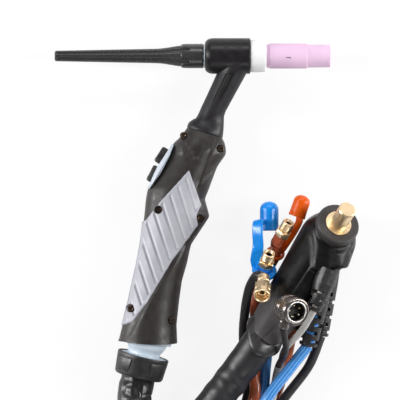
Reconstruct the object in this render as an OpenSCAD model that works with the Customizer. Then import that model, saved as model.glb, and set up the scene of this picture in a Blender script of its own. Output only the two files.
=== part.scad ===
/* [Torch head] */
// Length of the long back cap, outside the head
cap_len = 112.6; // [60:0.1:125]
// Diameter of the back cap's smooth collar
cap_collar_d = 18.4; // [16:0.1:22]
// Diameter of the back cap's far end
cap_tip_d = 8.4; // [7:0.1:12]
// Length of the moulded head cover
head_len = 34; // [30:0.1:44]
// Diameter of the moulded head cover
head_d = 26.8; // [25:0.1:30]
// Length of the white cup insulator
insulator_len = 12; // [8:0.1:16]
// Diameter of the white cup insulator
insulator_d = 24.4; // [21:0.1:25]
// Length of the ceramic cup, outside the insulator
cup_len = 48; // [30:0.1:60]
// Diameter of the ceramic cup's thick part
cup_d = 18.8; // [16:0.1:20]
// Bore of the ceramic cup
cup_bore_d = 11.2; // [9.6:0.1:12.6]
// Diameter of the tungsten electrode
electrode_d = 2.4; // [1.6:0.1:3.2]
// Length of the tungsten electrode
electrode_len = 150; // [75:1:150]

/* [Neck and handle] */
// Distance along the neck from its narrow end to the head's axis
neck_len = 46.707; // [42:0.001:52]
// Diameter of the neck cover at the head
neck_top_d = 20.4; // [18:0.1:22]
// Diameter of the neck cover at its narrowest
neck_low_d = 18.2; // [16:0.1:20]
// Bore of the neck cover
neck_bore_d = 13.4; // [12:0.1:14]
// Wall of the handle shells
shell_wall = 2.0; // [1.6:0.1:2.4]
// Height of the torch's middle plane over the table
axis_z = 22.5; // [22.5:0.1:26]
// Thickness of the grip inserts
grip_t = 1.0; // [0.6:0.1:1.4]
// Depth of the grooves in the grip inserts
groove_depth = 0.5; // [0.2:0.1:0.5]
// Head diameter of the handle screws
screw_head_d = 5.4; // [4.6:0.1:5.8]
// Travel of the push buttons
button_travel = 1.5; // [0.8:0.1:1.8]

/* [Swivel and collar] */
// Diameter of the swivel ball
ball_d = 31.4; // [30:0.1:31.8]
// Running gap between the ball and its seat
ball_gap = 0.05; // [0.02:0.01:0.1]
// Diameter of the collar nut's mouth end
collar_d = 39.6; // [38:0.1:42]
// Diameter of the collar nut's hose end
collar_low_d = 37.0; // [34:0.1:38]
// Length of the collar nut
collar_len = 17; // [14:0.1:20]

/* [Hose package] */
// Diameter of the covered hose
hose_d = 25.4; // [20:0.1:25.4]
// Diameter of the gas hose
gas_hose_d = 7; // [6:0.1:7.2]
// Diameter of each water hose
water_hose_d = 8.6; // [6:0.1:8.8]
// Diameter of the control cable
control_cable_d = 5; // [4:0.1:5.2]

/* [Machine plug] */
// Diameter of the plug pin
pin_d = 13; // [9:0.1:13]
// Length of the plug pin, past its flange
pin_len = 22; // [18:0.1:30]
// Diameter of the boot's nose
nose_d = 32.6; // [30:0.1:34]
// Diameter of the control plug's shell
control_d = 21.4; // [18:0.1:22]

/* [Hidden] */
$fn = 48;

// Fits shared by several pieces
clear = 0.3;
fit = 0.05;
eps = 0.01;

// ---- Vectors ----
function unit(v) = v / norm(v);
function heading(a) = [cos(a), sin(a), 0];
// Places its children with their local +Z along d, at point p
module along(p, d) {
    translate(p) rotate([0, acos(d[2] / norm(d)), atan2(d[1], d[0])]) children();
}

// ---- Swept tubes ----
// One ring of a tube: sides points round point p, square to direction t
function ring(p, t, r, sides) =
    let (u = unit(cross(t, [0, 0, 1])), v = cross(u, t))
    [for (k = [0:sides - 1]) p + r * (cos(360 * k / sides) * u + sin(360 * k / sides) * v)];

// Tangents: each inner point takes the mean of its two runs, the ends take the stated directions
function tangent(points, i, start, end) =
    i == 0 ? unit(start)
    : i == len(points) - 1 ? unit(end)
    : unit(unit(points[i + 1] - points[i]) + unit(points[i] - points[i - 1]));

// A solid from rings of equal count, closed by a fan at each end
module skin(rings) {
    m = len(rings[0]);
    n = len(rings);
    points = [for (r = rings) each r];
    sides = [for (i = [0:n - 2], k = [0:m - 1], half = [0, 1])
        let (a = i * m + k, b = i * m + (k + 1) % m)
        half == 0 ? [a, a + m, b] : [b, a + m, b + m]];
    first = [for (k = [1:m - 2]) [0, k, k + 1]];
    last = [for (k = [1:m - 2]) [(n - 1) * m, (n - 1) * m + k + 1, (n - 1) * m + k]];
    polyhedron(points, concat(sides, first, last));
}

// A tube of one radius, or of one radius a ring
module tube(points, r, sides, start, end) {
    skin([for (i = [0:len(points) - 1])
        ring(points[i], tangent(points, i, start, end), is_list(r) ? r[i] : r, sides)]);
}

// ---- Head places, along the head's axis ----
neck_dir = [-0.4505, -0.8928, 0];
neck_foot = [14.9585, 75, 0];
neck_in = 7.3;
head_place = neck_foot - neck_len * neck_dir + [neck_in, 0, 0];
head_y = head_place[1];
head_end = head_place[0];
head_x = head_end - head_len;
cap_bore_d = 4.6;
core_d = 18;
core_bore_d = 10;
seal_t = 1.6;
seal_d = 17.6;
stem_d = core_bore_d - 2 * fit;
stem_len = 11;
insulator_end = head_end + insulator_len;
cup_end = insulator_end + cup_len;
stem_in = 14;
electrode_tip = cup_end - 32;

module on_head(x) {
    translate([x, head_y, axis_z]) rotate([0, 90, 0]) children();
}

// The cap's taper, from its far end to its collar
cap_root_d = 16.2;
flute_d = 4.2;
flutes = 6;
flute_end = 24;
cap_collar_len = 17;
cap_seat = seal_t * 0.6;

module back_cap() {
    color([0.12, 0.12, 0.12]) on_head(head_x - cap_len) difference() {
        union() {
            rotate_extrude() polygon([
                [0, 0], [cap_tip_d / 2 - 1, 0], [cap_tip_d / 2, 1],
                [cap_tip_d / 2 + 1.2, cap_len - 38], [cap_root_d / 2, cap_len - cap_collar_len],
                [cap_collar_d / 2 - 0.6, cap_len - cap_collar_len],
                [cap_collar_d / 2, cap_len - cap_collar_len + 0.8],
                [cap_collar_d / 2, cap_len - cap_seat - 1], [cap_collar_d / 2 - 1, cap_len - cap_seat],
                [0, cap_len - cap_seat]]);
            translate([0, 0, cap_len - cap_seat - 1]) cylinder(d = stem_d, h = stem_len + cap_seat + 1);
        }
        translate([0, 0, 6]) cylinder(d = cap_bore_d, h = cap_len + stem_len);
        for (k = [0:flutes - 1]) rotate(360 * (k + 0.5) / flutes)
            translate([cap_tip_d / 2 + 1.1, 0, -1]) rotate([0, 1.6, 0])
                cylinder(d = flute_d, h = cap_len - flute_end, $fn = 12);
    }
}

module back_cap_seal() {
    color([0.1, 0.1, 0.1]) on_head(head_x - cap_seat + fit) difference() {
        rotate_extrude() polygon([
            [stem_d / 2 + fit, 0], [seal_d / 2 - 0.4, 0], [seal_d / 2, 0.4],
            [seal_d / 2, cap_seat - 2 * fit], [stem_d / 2 + fit, cap_seat - 2 * fit]]);
    }
}

neck_top = [head_end - neck_in, head_y, axis_z];
boss_d = neck_bore_d - 0.4;
boss_len = 20;

module head_core() {
    color([0.8, 0.62, 0.32]) difference() {
        union() {
            on_head(head_x + clear) cylinder(d = core_d, h = head_len - 2 * clear);
            along(neck_top, neck_dir) cylinder(d = boss_d, h = boss_len);
        }
        on_head(head_x - 1) cylinder(d = core_bore_d, h = head_len + 2);
    }
}

head_round = 4;
module head_cover() {
    color([0.14, 0.14, 0.14]) difference() {
        on_head(head_x) rotate_extrude() difference() {
            union() {
                square([head_d / 2 - head_round, head_len]);
                translate([0, head_round]) square([head_d / 2, head_len - 2 * head_round]);
                translate([head_d / 2 - head_round, head_round]) circle(head_round);
                translate([head_d / 2 - head_round, head_len - head_round]) circle(head_round);
            }
            translate([-1, -1]) square([core_d / 2 + 1 + fit, head_len + 2]);
        }
        along(neck_top, neck_dir) cylinder(d = neck_bore_d, h = head_d);
    }
}

// Neck cover: a tapered sleeve that flares into the handle's top, with a saddle on the head
neck_sections = [
    [[neck_top[0] - 6.4, head_y - 12.7], neck_top_d / 2, neck_top_d / 2, -26.8],
    [[14.9, 75], neck_low_d / 2, neck_low_d / 2, -26.8],
    [[12.2, 69.8], 10, 9.4, -20],
    [[10.7, 65.2], 12.6, 10.4, 2],
    [[9.8, 62], 13.4, 11.2, 12],
    [[9.4, 59.3], 13.6, 11.6, 16.8]];

function neck_ring(s, sides) =
    [for (k = [0:sides - 1]) let (a = 360 * k / sides)
        [s[0][0] + s[1] * cos(a) * cos(-s[3]), s[0][1] + s[1] * cos(a) * sin(-s[3]),
            axis_z + s[2] * sin(a)]];

saddle_d = 23.4;
module neck_cover() {
    color([0.13, 0.13, 0.13]) difference() {
        union() {
            skin([for (s = neck_sections) neck_ring(s, 28)]);
            along(neck_top + 8 * neck_dir, neck_dir) cylinder(d1 = saddle_d, d2 = neck_top_d - 0.6, h = 9);
        }
        on_head(head_x - 5) cylinder(d = head_d + 2 * fit, h = head_len + 10);
        along(neck_top, neck_dir) cylinder(d = neck_bore_d, h = 80);
    }
}

tube_d = 5;
tube_len = neck_len - 1.707;
tube_spread = 3;
tube_start = neck_top + boss_len * neck_dir;
module neck_tubes() {
    color([0.72, 0.45, 0.25]) for (a = [90, 210, 330])
        along(tube_start, neck_dir) rotate(a) translate([tube_spread, 0, 0]) cylinder(d = tube_d, h = tube_len);
}

module cup_insulator() {
    color([0.95, 0.95, 0.95]) on_head(head_end) rotate_extrude() difference() {
        union() {
            square([insulator_d / 2, insulator_len - 2.5]);
            square([insulator_d / 2 - 2.5, insulator_len]);
            translate([insulator_d / 2 - 2.5, insulator_len - 2.5]) circle(2.5);
        }
        translate([-1, -1]) square([7.5, insulator_len + 2]);
    }
}

body_flange_d = 12.4;
body_front_d = cup_bore_d - 0.8;
module collet_body() {
    color([0.85, 0.68, 0.36]) on_head(head_end - stem_in) difference() {
        union() {
            cylinder(d = stem_d, h = stem_in + 2);
            translate([0, 0, stem_in + fit]) cylinder(d = body_flange_d, h = 6);
            translate([0, 0, stem_in]) cylinder(d = body_front_d, h = insulator_len + 12);
        }
        translate([0, 0, -1]) cylinder(d = electrode_d + 2.6, h = stem_in + insulator_len + 8);
        cylinder(d = electrode_d + 0.4, h = 100);
    }
}

collet_len = 46;
module collet() {
    color([0.78, 0.5, 0.3]) on_head(head_end + insulator_len + 5 - collet_len) difference() {
        cylinder(d = electrode_d + 2, h = collet_len);
        translate([0, 0, -1]) cylinder(d = electrode_d + 2 * fit, h = collet_len + 2);
        translate([0, -0.3, collet_len - 16]) cube([10, 0.6, 20]);
    }
}

cup_neck_d = 17.6;
cup_tip_d = 17.2;
cup_neck_len = 2.3;
cup_body_len = 28;
module ceramic_cup() {
    color([0.93, 0.82, 0.9]) on_head(insulator_end) rotate_extrude() polygon([
        [cup_bore_d / 2, 0.2], [cup_neck_d / 2, 0.2], [cup_neck_d / 2, cup_neck_len],
        [cup_d / 2 - 0.5, cup_neck_len], [cup_d / 2, cup_neck_len + 0.5],
        [cup_d / 2, cup_neck_len + cup_body_len - 0.5], [cup_d / 2 - 0.5, cup_neck_len + cup_body_len],
        [cup_tip_d / 2, cup_neck_len + cup_body_len], [cup_tip_d / 2 - 0.4, cup_len - 0.4],
        [cup_tip_d / 2 - 0.8, cup_len], [cup_bore_d / 2, cup_len]]);
}

module tungsten_electrode() {
    color([0.62, 0.62, 0.64]) on_head(electrode_tip - electrode_len) rotate_extrude() polygon([
        [0, 0], [electrode_d / 2, 0], [electrode_d / 2, electrode_len - 6],
        [0.2, electrode_len], [0, electrode_len]]);
}

// ---- Handle ----
// Each section: the left and right ends of its outline, and half its thickness
sections = [
    [[-4.2, 62.7], [22.6, 54.6], 11.5],
    [[-8.7, 56.4], [24.3, 51.0], 13.5],
    [[-15.0, 50.6], [25.0, 47.0], 15.4],
    [[-17.4, 45.0], [25.1, 43.0], 16.2],
    [[-19.6, 38.6], [21.8, 38.4], 17.0],
    [[-22.6, 32.4], [18.4, 33.4], 17.8],
    [[-27.0, 25.8], [16.2, 27.6], 18.4],
    [[-33.6, 17.0], [12.4, 17.2], 19.0],
    [[-35.0, 9.4], [9.2, 9.4], 19.2],
    [[-36.2, -3.2], [12.8, -3.6], 19.6],
    [[-37.0, -8.9], [9.4, -8.8], 19.6],
    [[-39.0, -24.8], [-1.2, -24.8], 19.4],
    [[-41.6, -39.0], [-4.2, -39.0], 19.4],
    [[-44.6, -52.0], [-8.0, -52.0], 19.4],
    [[-47.8, -66.4], [-10.0, -66.4], 19.8],
    [[-52.6, -85.0], [-12.0, -85.0], 21.2],
    [[-56.0, -99.0], [-11.4, -99.0], 22.5]];
half_steps = 14;
squareness = 0.9;

// A half ring of a section, grown by g: from its right end over the top to its left end
function half_ring(s, g, side) =
    let (c = (s[0] + s[1]) / 2, a = norm(s[1] - s[0]) / 2 + g, u = unit(s[1] - s[0]), b = s[2] + g)
    [for (k = [0:half_steps]) let (t = 180 * k / half_steps,
        x = a * sign(cos(t)) * pow(abs(cos(t)), squareness), z = b * pow(sin(t), squareness))
        [c[0] + u[0] * x, c[1] + u[1] * x, axis_z + side * z]];

function reversed(list) = [for (i = [len(list) - 1:-1:0]) list[i]];

// A half shell between growths outer and inner
module half_shell(outer, inner, side) {
    m = 2 * (half_steps + 1);
    n = len(sections);
    rings = [for (s = sections) concat(half_ring(s, outer, side), reversed(half_ring(s, inner, side)))];
    points = [for (r = rings) each r];
    walls = [for (i = [0:n - 2], k = [0:m - 1], h = [0, 1])
        let (a = i * m + k, b = i * m + (k + 1) % m)
        k <= half_steps ? (h == 0 ? [a, a + m, b] : [b, a + m, b + m])
        : (h == 0 ? [a, a + m, b + m] : [a, b + m, b])];
    ends = [for (e = [0, n - 1], k = [0:half_steps - 1], h = [0, 1])
        let (a = e * m + k, b = e * m + k + 1, d = e * m + m - 1 - k, f = e * m + m - 2 - k,
            face = h == 0 ? [a, b, f] : [a, f, d])
        e == 0 ? face : reversed(face)];
    faces = concat(walls, ends);
    polyhedron(points, side > 0 ? faces : [for (f = faces) reversed(f)]);
}

// The buttons: centre of each, on the handle's left edge, and the way it moves in
button_dir_front = [0.838, -0.545, 0];
button_dir_rear = [0.886, -0.463, 0];
button_front = [-24.9, 43.2, axis_z];
button_rear = [-31.3, 29.2, axis_z];
button_l = 13.2;
button_w = 9;
button_h = 8.6;
well_depth = button_h + 5;

module button(p, d, grow, height) {
    translate(p) rotate([0, 0, atan2(d[1], d[0])])
        translate([0, -(button_l + 2 * grow) / 2, -(button_w + 2 * grow) / 2])
            cube([height, button_l + 2 * grow, button_w + 2 * grow]);
}

module button_wells() {
    translate(-1 * button_dir_front) button(button_front, button_dir_front, clear, well_depth);
    translate(-1 * button_dir_rear) button(button_rear, button_dir_rear, clear, well_depth);
}

// Handle screws: place of each on the handle's face, and the height of its head's top
screw_places = [[-6.8, 56.9], [20.9, 47.0], [-25.4, 1.5], [5.7, -4.7], [-45.9, -72.1], [-15.5, -80.9]];
screw_tops = [8.2, 8.0, 12.0, 10.0, 12.0, 12.0];
screw_hole_d = screw_head_d + 2 * clear;
screw_shaft_d = 3;
screw_head_t = 2;
screw_reach = 6;
boss_depth = 8.5;
screw_boss_d = screw_hole_d + 2;

// The recess over each screw, on the face that shows the heads, and the shaft's hole
module screw_holes(side) {
    for (i = [0:len(screw_places) - 1]) translate([screw_places[i][0], screw_places[i][1], axis_z]) {
        translate([0, 0, -screw_reach - clear])
            cylinder(d = screw_shaft_d + 2 * fit, h = screw_reach + screw_tops[i]);
        if (side > 0) translate([0, 0, screw_tops[i] - screw_head_t]) cylinder(d = screw_hole_d, h = 20);
    }
}

module shell_half(side) {
    difference() {
        union() {
            half_shell(0, -shell_wall, side);
            intersection() {
                half_shell(-eps, -boss_depth, side);
                for (p = screw_places) translate([p[0], p[1], axis_z + (side > 0 ? 0 : -30)])
                    cylinder(d = screw_boss_d, h = 30);
            }
        }
        button_wells();
        screw_holes(side);
    }
}

module handle_shell_upper() {
    color([0.2, 0.19, 0.18]) shell_half(1);
}

module handle_shell_lower() {
    color([0.2, 0.19, 0.18]) shell_half(-1);
}

module handle_screws() {
    color([0.5, 0.42, 0.34]) for (i = [0:len(screw_places) - 1])
        translate([screw_places[i][0], screw_places[i][1], axis_z]) {
            translate([0, 0, -screw_reach]) cylinder(d = screw_shaft_d, h = screw_reach + screw_tops[i] - 1);
            translate([0, 0, screw_tops[i] - screw_head_t]) cylinder(d = screw_head_d, h = screw_head_t);
        }
}

// Grip insert: outline on the handle's face, and its slanted grooves
grip_outline = [
    [-2.6, 30.6], [6.4, 5.0], [3.0, -2.4], [4.0, -10.0], [-14.8, -35.8], [-33.0, -66.2],
    [-44.0, -82.0], [-62.0, -84.8], [-52.0, -60.0], [-42.0, -10.0], [-37.0, -1.0], [-24.4, 6.8]];
grooves = 11;
groove_w = 1.4;
groove_lean = 17.4;

module grip_insert(side) {
    difference() {
        intersection() {
            half_shell(grip_t, 0, side);
            translate([0, 0, axis_z + (side > 0 ? 1 : -40)]) linear_extrude(39) polygon(grip_outline);
        }
        screw_holes(side);
        intersection() {
            half_shell(grip_t + 1, grip_t - groove_depth, side);
            for (k = [0:grooves - 1])
                translate([-3 - 5.8 * k, 20 - 6.4 * k, axis_z]) rotate([0, 0, groove_lean]) hull() {
                    translate([-groove_w / 2, -20, 0]) cube([groove_w, 34, eps]);
                    translate([-groove_w / 2, -20, side * 30]) cube([groove_w, 34, eps]);
                }
        }
    }
}

module grip_insert_upper() {
    color([0.78, 0.78, 0.81]) union() grip_insert(1);
}

module grip_insert_lower() {
    color([0.78, 0.78, 0.81]) union() grip_insert(-1);
}

// Switch bezel: a crescent on the handle's left edge
bezel_outline = [
    [-15.2, 51.4], [-17.6, 47.0], [-25.6, 34.6], [-31.8, 21.6], [-33.8, 17.4],
    [-30.2, 20.4], [-25.6, 26.2], [-21.4, 32.6], [-18.2, 40.8], [-15.2, 49.2]];
bezel_half = 11;
module switch_bezel() {
    color([0.87, 0.89, 0.92]) difference() {
        translate([0, 0, axis_z - bezel_half]) linear_extrude(2 * bezel_half) polygon(bezel_outline);
        for (side = [-1, 1]) half_shell(clear, -10, side);
        button_wells();
    }
}

module trigger_front() {
    color([0.1, 0.1, 0.1]) button(button_front, button_dir_front, 0, button_h);
}

module trigger_rear() {
    color([0.1, 0.1, 0.1]) button(button_rear, button_dir_rear, 0, button_h);
}

// Switch board: behind both buttons, with a tact switch for each
switch_gap = button_travel + clear;
module switch_board() {
    color([0.1, 0.35, 0.2]) {
        for (s = [[button_front, button_dir_front], [button_rear, button_dir_rear]])
            translate(s[0] + (button_h + switch_gap) * s[1]) rotate([0, 0, atan2(s[1][1], s[1][0])])
                translate([0, -3, -3]) cube([4, 6, 6]);
        difference() {
            translate([-16.4, 28.4, axis_z - 17]) rotate([0, 0, -29.5]) translate([-0.8, -12, 0]) cube([1.6, 26, 34]);
            for (side = [-1, 1]) half_shell(8, -shell_wall, side);
        }
    }
}

// ---- Swivel ball, sleeve and collar ----
ball_at = [-33.7, -94.8, axis_z];
sleeve_dir = unit([-0.235, -0.972, -0.05]);
seat_d = 37.2;
seat_half = 6;
seat_low = 4;
handle_dir = unit([-0.141, -0.99, 0]);
module ball_seat() {
    color([0.3, 0.3, 0.3]) along(ball_at, handle_dir) difference() {
        intersection() {
            sphere(d = seat_d);
            translate([0, 0, -seat_half]) cylinder(d = seat_d + 1, h = seat_half + seat_low);
        }
        sphere(d = ball_d + 2 * ball_gap);
    }
}

waist_d = 25;
flange_d = 34.8;
flange_at = 13.4;
flange_t = 3;
tail_d = 21;
sleeve_bore_d = 17;
collar_at = 13;
collar_end = collar_at + collar_len;
module ball_sleeve() {
    color([0.78, 0.83, 0.86]) along(ball_at, sleeve_dir) difference() {
        union() {
            intersection() {
                sphere(d = ball_d);
                translate([0, 0, -9]) cylinder(d = ball_d + 2, h = 24);
            }
            translate([0, 0, 4]) cylinder(d = waist_d, h = flange_at - 3);
            translate([0, 0, flange_at]) cylinder(d = flange_d, h = flange_t);
            translate([0, 0, flange_at]) cylinder(d = tail_d, h = collar_end - flange_at);
        }
        translate([0, 0, -20]) cylinder(d = sleeve_bore_d, h = 60);
    }
}

pads = 4;
pad_w = 15;
pad_t = 0.8;
module collar_nut() {
    color([0.08, 0.08, 0.08]) along(ball_at, sleeve_dir) translate([0, 0, collar_at]) difference() {
        union() {
            rotate_extrude() polygon([
                [0, 0], [collar_d / 2 - pad_t, 0], [collar_d / 2 - pad_t, 2],
                [collar_low_d / 2 - pad_t, collar_len - 1], [collar_low_d / 2 - pad_t - 1, collar_len],
                [0, collar_len]]);
            for (k = [0:pads - 1]) rotate(360 * (k + 0.5) / pads) intersection() {
                rotate_extrude() polygon([
                    [collar_d / 2 - 2, 3.5], [collar_d / 2, 3.5], [collar_low_d / 2, collar_len - 3.5],
                    [collar_low_d / 2 - 2, collar_len - 3.5]]);
                translate([0, -pad_w / 2, 0]) cube([30, pad_w, 30]);
            }
        }
        translate([0, 0, -1]) cylinder(d = flange_d + 2 * fit, h = 1 + flange_at - collar_at + flange_t + fit);
        translate([0, 0, -1]) cylinder(d = tail_d + 2 * fit, h = collar_len + 2);
    }
}

// ---- Hoses inside the handle ----
inner_end = ball_at - 12.5 * sleeve_dir;
hose_in = tube_start + (tube_len + clear) * neck_dir;
neck_side = [-neck_dir[1], neck_dir[0], 0];
module inner_hose(offset, d, shade) {
    across = unit([0.989, -0.141, 0]);
    shift = offset[0] * across + [0, 0, offset[1]];
    color(shade) tube([
        hose_in + 0.6 * (offset[0] * neck_side + [0, 0, offset[1]]), [-3, 14, axis_z] + shift, [-22, -44, axis_z] + shift,
        inner_end + shift * 0.75], d / 2, 8, neck_dir, sleeve_dir);
}

module inner_gas_hose() {
    inner_hose([0, 5], 4.4, [0.15, 0.15, 0.15]);
}

module inner_water_hose() {
    inner_hose([-5, -3], 4.8, [0.2, 0.4, 0.8]);
}

module inner_power_hose() {
    inner_hose([5, -3], 5, [0.8, 0.2, 0.15]);
}

// ---- The hose package ----
layer_step = hose_d + 0.9;
low_z = hose_d / 2 + 0.2;
high_z = low_z + layer_step;
coil_at = [3.6, -418];
coil_r = 157;
coil_pitch = 26.4;
coil_in = 78.05;
coil_out = 142.5;
coil_turn = coil_in - coil_out + 1440;
rings_a_loop = 24;
coil_rings = floor(coil_turn * rings_a_loop / 360);
coil_sides = 6;

// The coil's turn angle u runs from 0 to coil_turn, clockwise from above
function coil_radius(u) = coil_r - coil_pitch * min(u, coil_turn - u) / 360;
function smooth(t) = let (c = max(0, min(1, t))) c * c * (3 - 2 * c);
function coil_height(u) = high_z - layer_step * smooth((u - coil_turn / 2 + 90) / 180);
function coil_point(u) = let (r = coil_radius(u), a = coil_in - u)
    [coil_at[0] + r * cos(a), coil_at[1] + r * sin(a), coil_height(u)];
coil_first = coil_point(0);
coil_last = coil_point(coil_turn);
coil_enter = heading(coil_in - 90);
coil_leave = heading(coil_out - 90);
coil_points = concat([coil_first - hose_d * coil_enter],
    [for (i = [0:coil_rings]) coil_point(coil_turn * i / coil_rings)],
    [coil_last + hose_d * coil_leave]);

// The least gap between stretches of the coil that are over two diameters apart along it
skip = ceil(2 * hose_d / (2 * PI * (coil_r - 2 * coil_pitch) / rings_a_loop));
coil_gap = min([for (i = [0:len(coil_points) - 1], j = [i + skip + 1:1:len(coil_points) - 1])
    norm(coil_points[i] - coil_points[j])]) - hose_d;
echo(str("hose_coil least gap to itself: ", coil_gap, " mm"));

module hose_coil() {
    color([0.1, 0.1, 0.1]) tube(coil_points, hose_d / 2, coil_sides, coil_enter, coil_leave);
}

leather_points = [
    ball_at + collar_end * sleeve_dir, [-43.2, -137, 21.4], [-43.2, -153, 27], [-42.6, -172, 35],
    [-38, -193, 38.9], [-27, -217, 39.1], [-10, -239, 39.1]];
module leather_hose() {
    points = concat(leather_points, [coil_points[0]]);
    color([0.09, 0.09, 0.09]) tube(points, hose_d / 2, 12, sleeve_dir, coil_enter);
}

tail_dir = unit([0.557, 0.831, 0]);
boot_start = [49.8, -98, 27];
machine_points = [[-76, -264, 12.9], [-34, -209, 12.9], [-2, -167, 14.4], [18, -141.3, 18], [34, -120, 23]];
module machine_hose() {
    points = concat([coil_points[len(coil_points) - 1]], machine_points, [boot_start]);
    color([0.11, 0.11, 0.11]) tube(points, hose_d / 2, 12, coil_leave, tail_dir);
}

// ---- Machine plug ----
elbow_at = [101.2, -21.3, 22];
pin_dir = unit([0.27, 0.47, 0.84]);
nose_at = elbow_at + 27 * pin_dir;
tail_r = 15.4;
elbow_r = 21.4;
nose_len = 6.5;
flange_brass_d = 19.6;
ledge_at = boot_start + 58 * tail_dir + [0, 0, -3];
ledge_r = 21;

module elbow_boot() {
    color([0.1, 0.1, 0.1]) difference() {
        union() {
            hull() {
                translate(elbow_at) sphere(r = elbow_r, $fn = 32);
                along(ledge_at + 1 * tail_dir, tail_dir) cylinder(r = ledge_r, h = 2, $fn = 32);
                along(nose_at - nose_len * pin_dir, -pin_dir) cylinder(r = nose_d / 2 - 1, h = 2, $fn = 32);
            }
            along(nose_at, -pin_dir) cylinder(d = nose_d, h = nose_len + 3);
        }
        along(nose_at + pin_dir, -pin_dir) cylinder(d = flange_brass_d + 2 * fit, h = 4);
        along(nose_at, -pin_dir) cylinder(d = pin_d + 2 * fit, h = 24);
    }
}

module tail_boot() {
    color([0.1, 0.1, 0.1]) hull() {
        along(boot_start, tail_dir) cylinder(r = tail_r, h = 4, $fn = 32);
        along(ledge_at, -tail_dir) cylinder(r = ledge_r - 1, h = 6, $fn = 32);
    }
}

slot_w = 2.4;
module plug_pin() {
    color([0.88, 0.72, 0.38]) along(nose_at, pin_dir) difference() {
        union() {
            translate([0, 0, -2.9]) cylinder(d = flange_brass_d, h = 3.4);
            translate([0, 0, -20]) cylinder(d = pin_d, h = 20 + pin_len - 1);
            translate([0, 0, pin_len - 1]) cylinder(d1 = pin_d, d2 = pin_d - 2, h = 1);
        }
        translate([pin_d / 2 - 1.2, -slot_w / 2, 8]) cube([10, slot_w, pin_len]);
    }
}

// Ribbed strain reliefs: ribs along a line, from a root in the tail boot
ribs = 6;
module relief(a, b, r0, r1) {
    n = 2 * ribs + 1;
    points = [for (i = [0:n]) a + (b - a) * i / n];
    radii = [for (i = [0:n]) (r0 + (r1 - r0) * i / n) * (i % 2 == 0 ? 1 : 0.84)];
    tube(points, radii, 10, b - a, b - a);
}

control_relief_root = [99, -50, 40];
control_relief_end = [90.4, -73.6, 40];
blue_relief_root = [94, -66, 22];
blue_relief_end = [86.6, -100.8, 20];
gas_relief_root = [103, -52, 8.6];
gas_relief_end = [97, -94, 8.6];
red_relief_root = [82, -72, 9];
red_relief_end = [75.5, -88, 7];

module control_relief() {
    color([0.08, 0.08, 0.08]) relief(control_relief_root, control_relief_end, 7, 4);
}

module blue_relief() {
    color([0.08, 0.08, 0.08]) relief(blue_relief_root, blue_relief_end, 8, 5.4);
}

module gas_relief() {
    color([0.08, 0.08, 0.08]) relief(gas_relief_root, gas_relief_end, 6.6, 4.6);
}

module red_relief() {
    color([0.08, 0.08, 0.08]) relief(red_relief_root, red_relief_end, 6.2, 5.2);
}

// ---- Fittings ----
blue_dir = unit([0.19, 0.71, 0.68]);
blue_mouth = [57.3, -30.8, 38];
red_dir = unit([0.42, 0.75, 0.5]);
red_mouth = [72.1, -7.8, 34];
gas_dir = unit([-0.08, -0.62, 0.78]);
gas_mouth = [51.2, -62.3, 61];
fitting_d = 9.2;
fitting_bore_d = 5.6;
ferrule_d = fitting_d + 0.6;
hex_d = 12.6;
fitting_len = 22;

module fitting(mouth, dir, bore) {
    color([0.86, 0.7, 0.4]) along(mouth, -dir) difference() {
        union() {
            cylinder(d = fitting_d, h = 8);
            translate([0, 0, 8]) cylinder(d = hex_d, h = 5, $fn = 6);
            translate([0, 0, 13]) cylinder(d = ferrule_d, h = fitting_len - 13);
        }
        translate([0, 0, -1]) cylinder(d = bore, h = 10);
    }
}

module blue_fitting() {
    fitting(blue_mouth, blue_dir, fitting_bore_d);
}

module red_fitting() {
    fitting(red_mouth, red_dir, fitting_bore_d);
}

gas_spigot_d = 8;
gas_nut_d = 13.6;
gas_nut_at = 4;
gas_nut_len = 8;
module gas_fitting() {
    color([0.86, 0.7, 0.4]) along(gas_mouth, -gas_dir) difference() {
        union() {
            translate([0, 0, gas_nut_at + 4]) cylinder(d = gas_spigot_d, h = 8);
            translate([0, 0, gas_nut_at + gas_nut_len + 0.6]) cylinder(d = fitting_d, h = 9);
        }
        translate([0, 0, gas_nut_at]) cylinder(d = 3.4, h = 14);
    }
}

gas_thread_d = 9.6;
module gas_nut() {
    color([0.9, 0.74, 0.44]) along(gas_mouth, -gas_dir) difference() {
        union() {
            cylinder(d = gas_thread_d + 3, h = gas_nut_at);
            translate([0, 0, gas_nut_at]) cylinder(d = gas_nut_d, h = gas_nut_len, $fn = 6);
        }
        translate([0, 0, -1]) cylinder(d = gas_thread_d, h = 1 + gas_nut_at + 3);
        translate([0, 0, 0]) cylinder(d = gas_spigot_d + 2 * fit, h = 20);
    }
}

// Dust caps: a cup, its strap and the strap's ring round the fitting
cap_wall = 1.4;
strap_w = 3.2;
strap_t = 1.6;
module dust_cap(base, dir, d, length, round_end) {
    along(base, dir) difference() {
        union() {
            cylinder(d = d, h = length - round_end);
            translate([0, 0, length - round_end]) scale([1, 1, 1]) intersection() {
                sphere(d = d);
                cylinder(d = d, h = round_end);
            }
        }
        translate([0, 0, -1]) cylinder(d = d - 2 * cap_wall, h = length - round_end);
    }
}

// A flat strap: thin boxes along its points
module strap(points, w, t) {
    for (i = [0:len(points) - 2]) hull() for (p = [points[i], points[i + 1]])
        translate(p) cylinder(d = w, h = t, $fn = 16);
}

module strap_ring(p, dir, d) {
    along(p, -dir) difference() {
        cylinder(d = d + 5, h = 2);
        translate([0, 0, -1]) cylinder(d = d + 2 * clear, h = 4);
    }
}

// The middle of a strap ring's rim, on the side that side says
function rim(p, dir, side) = p + side * (ferrule_d / 2 + 2.5) * unit(cross(dir, [0, 0, 1])) - dir;

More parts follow.
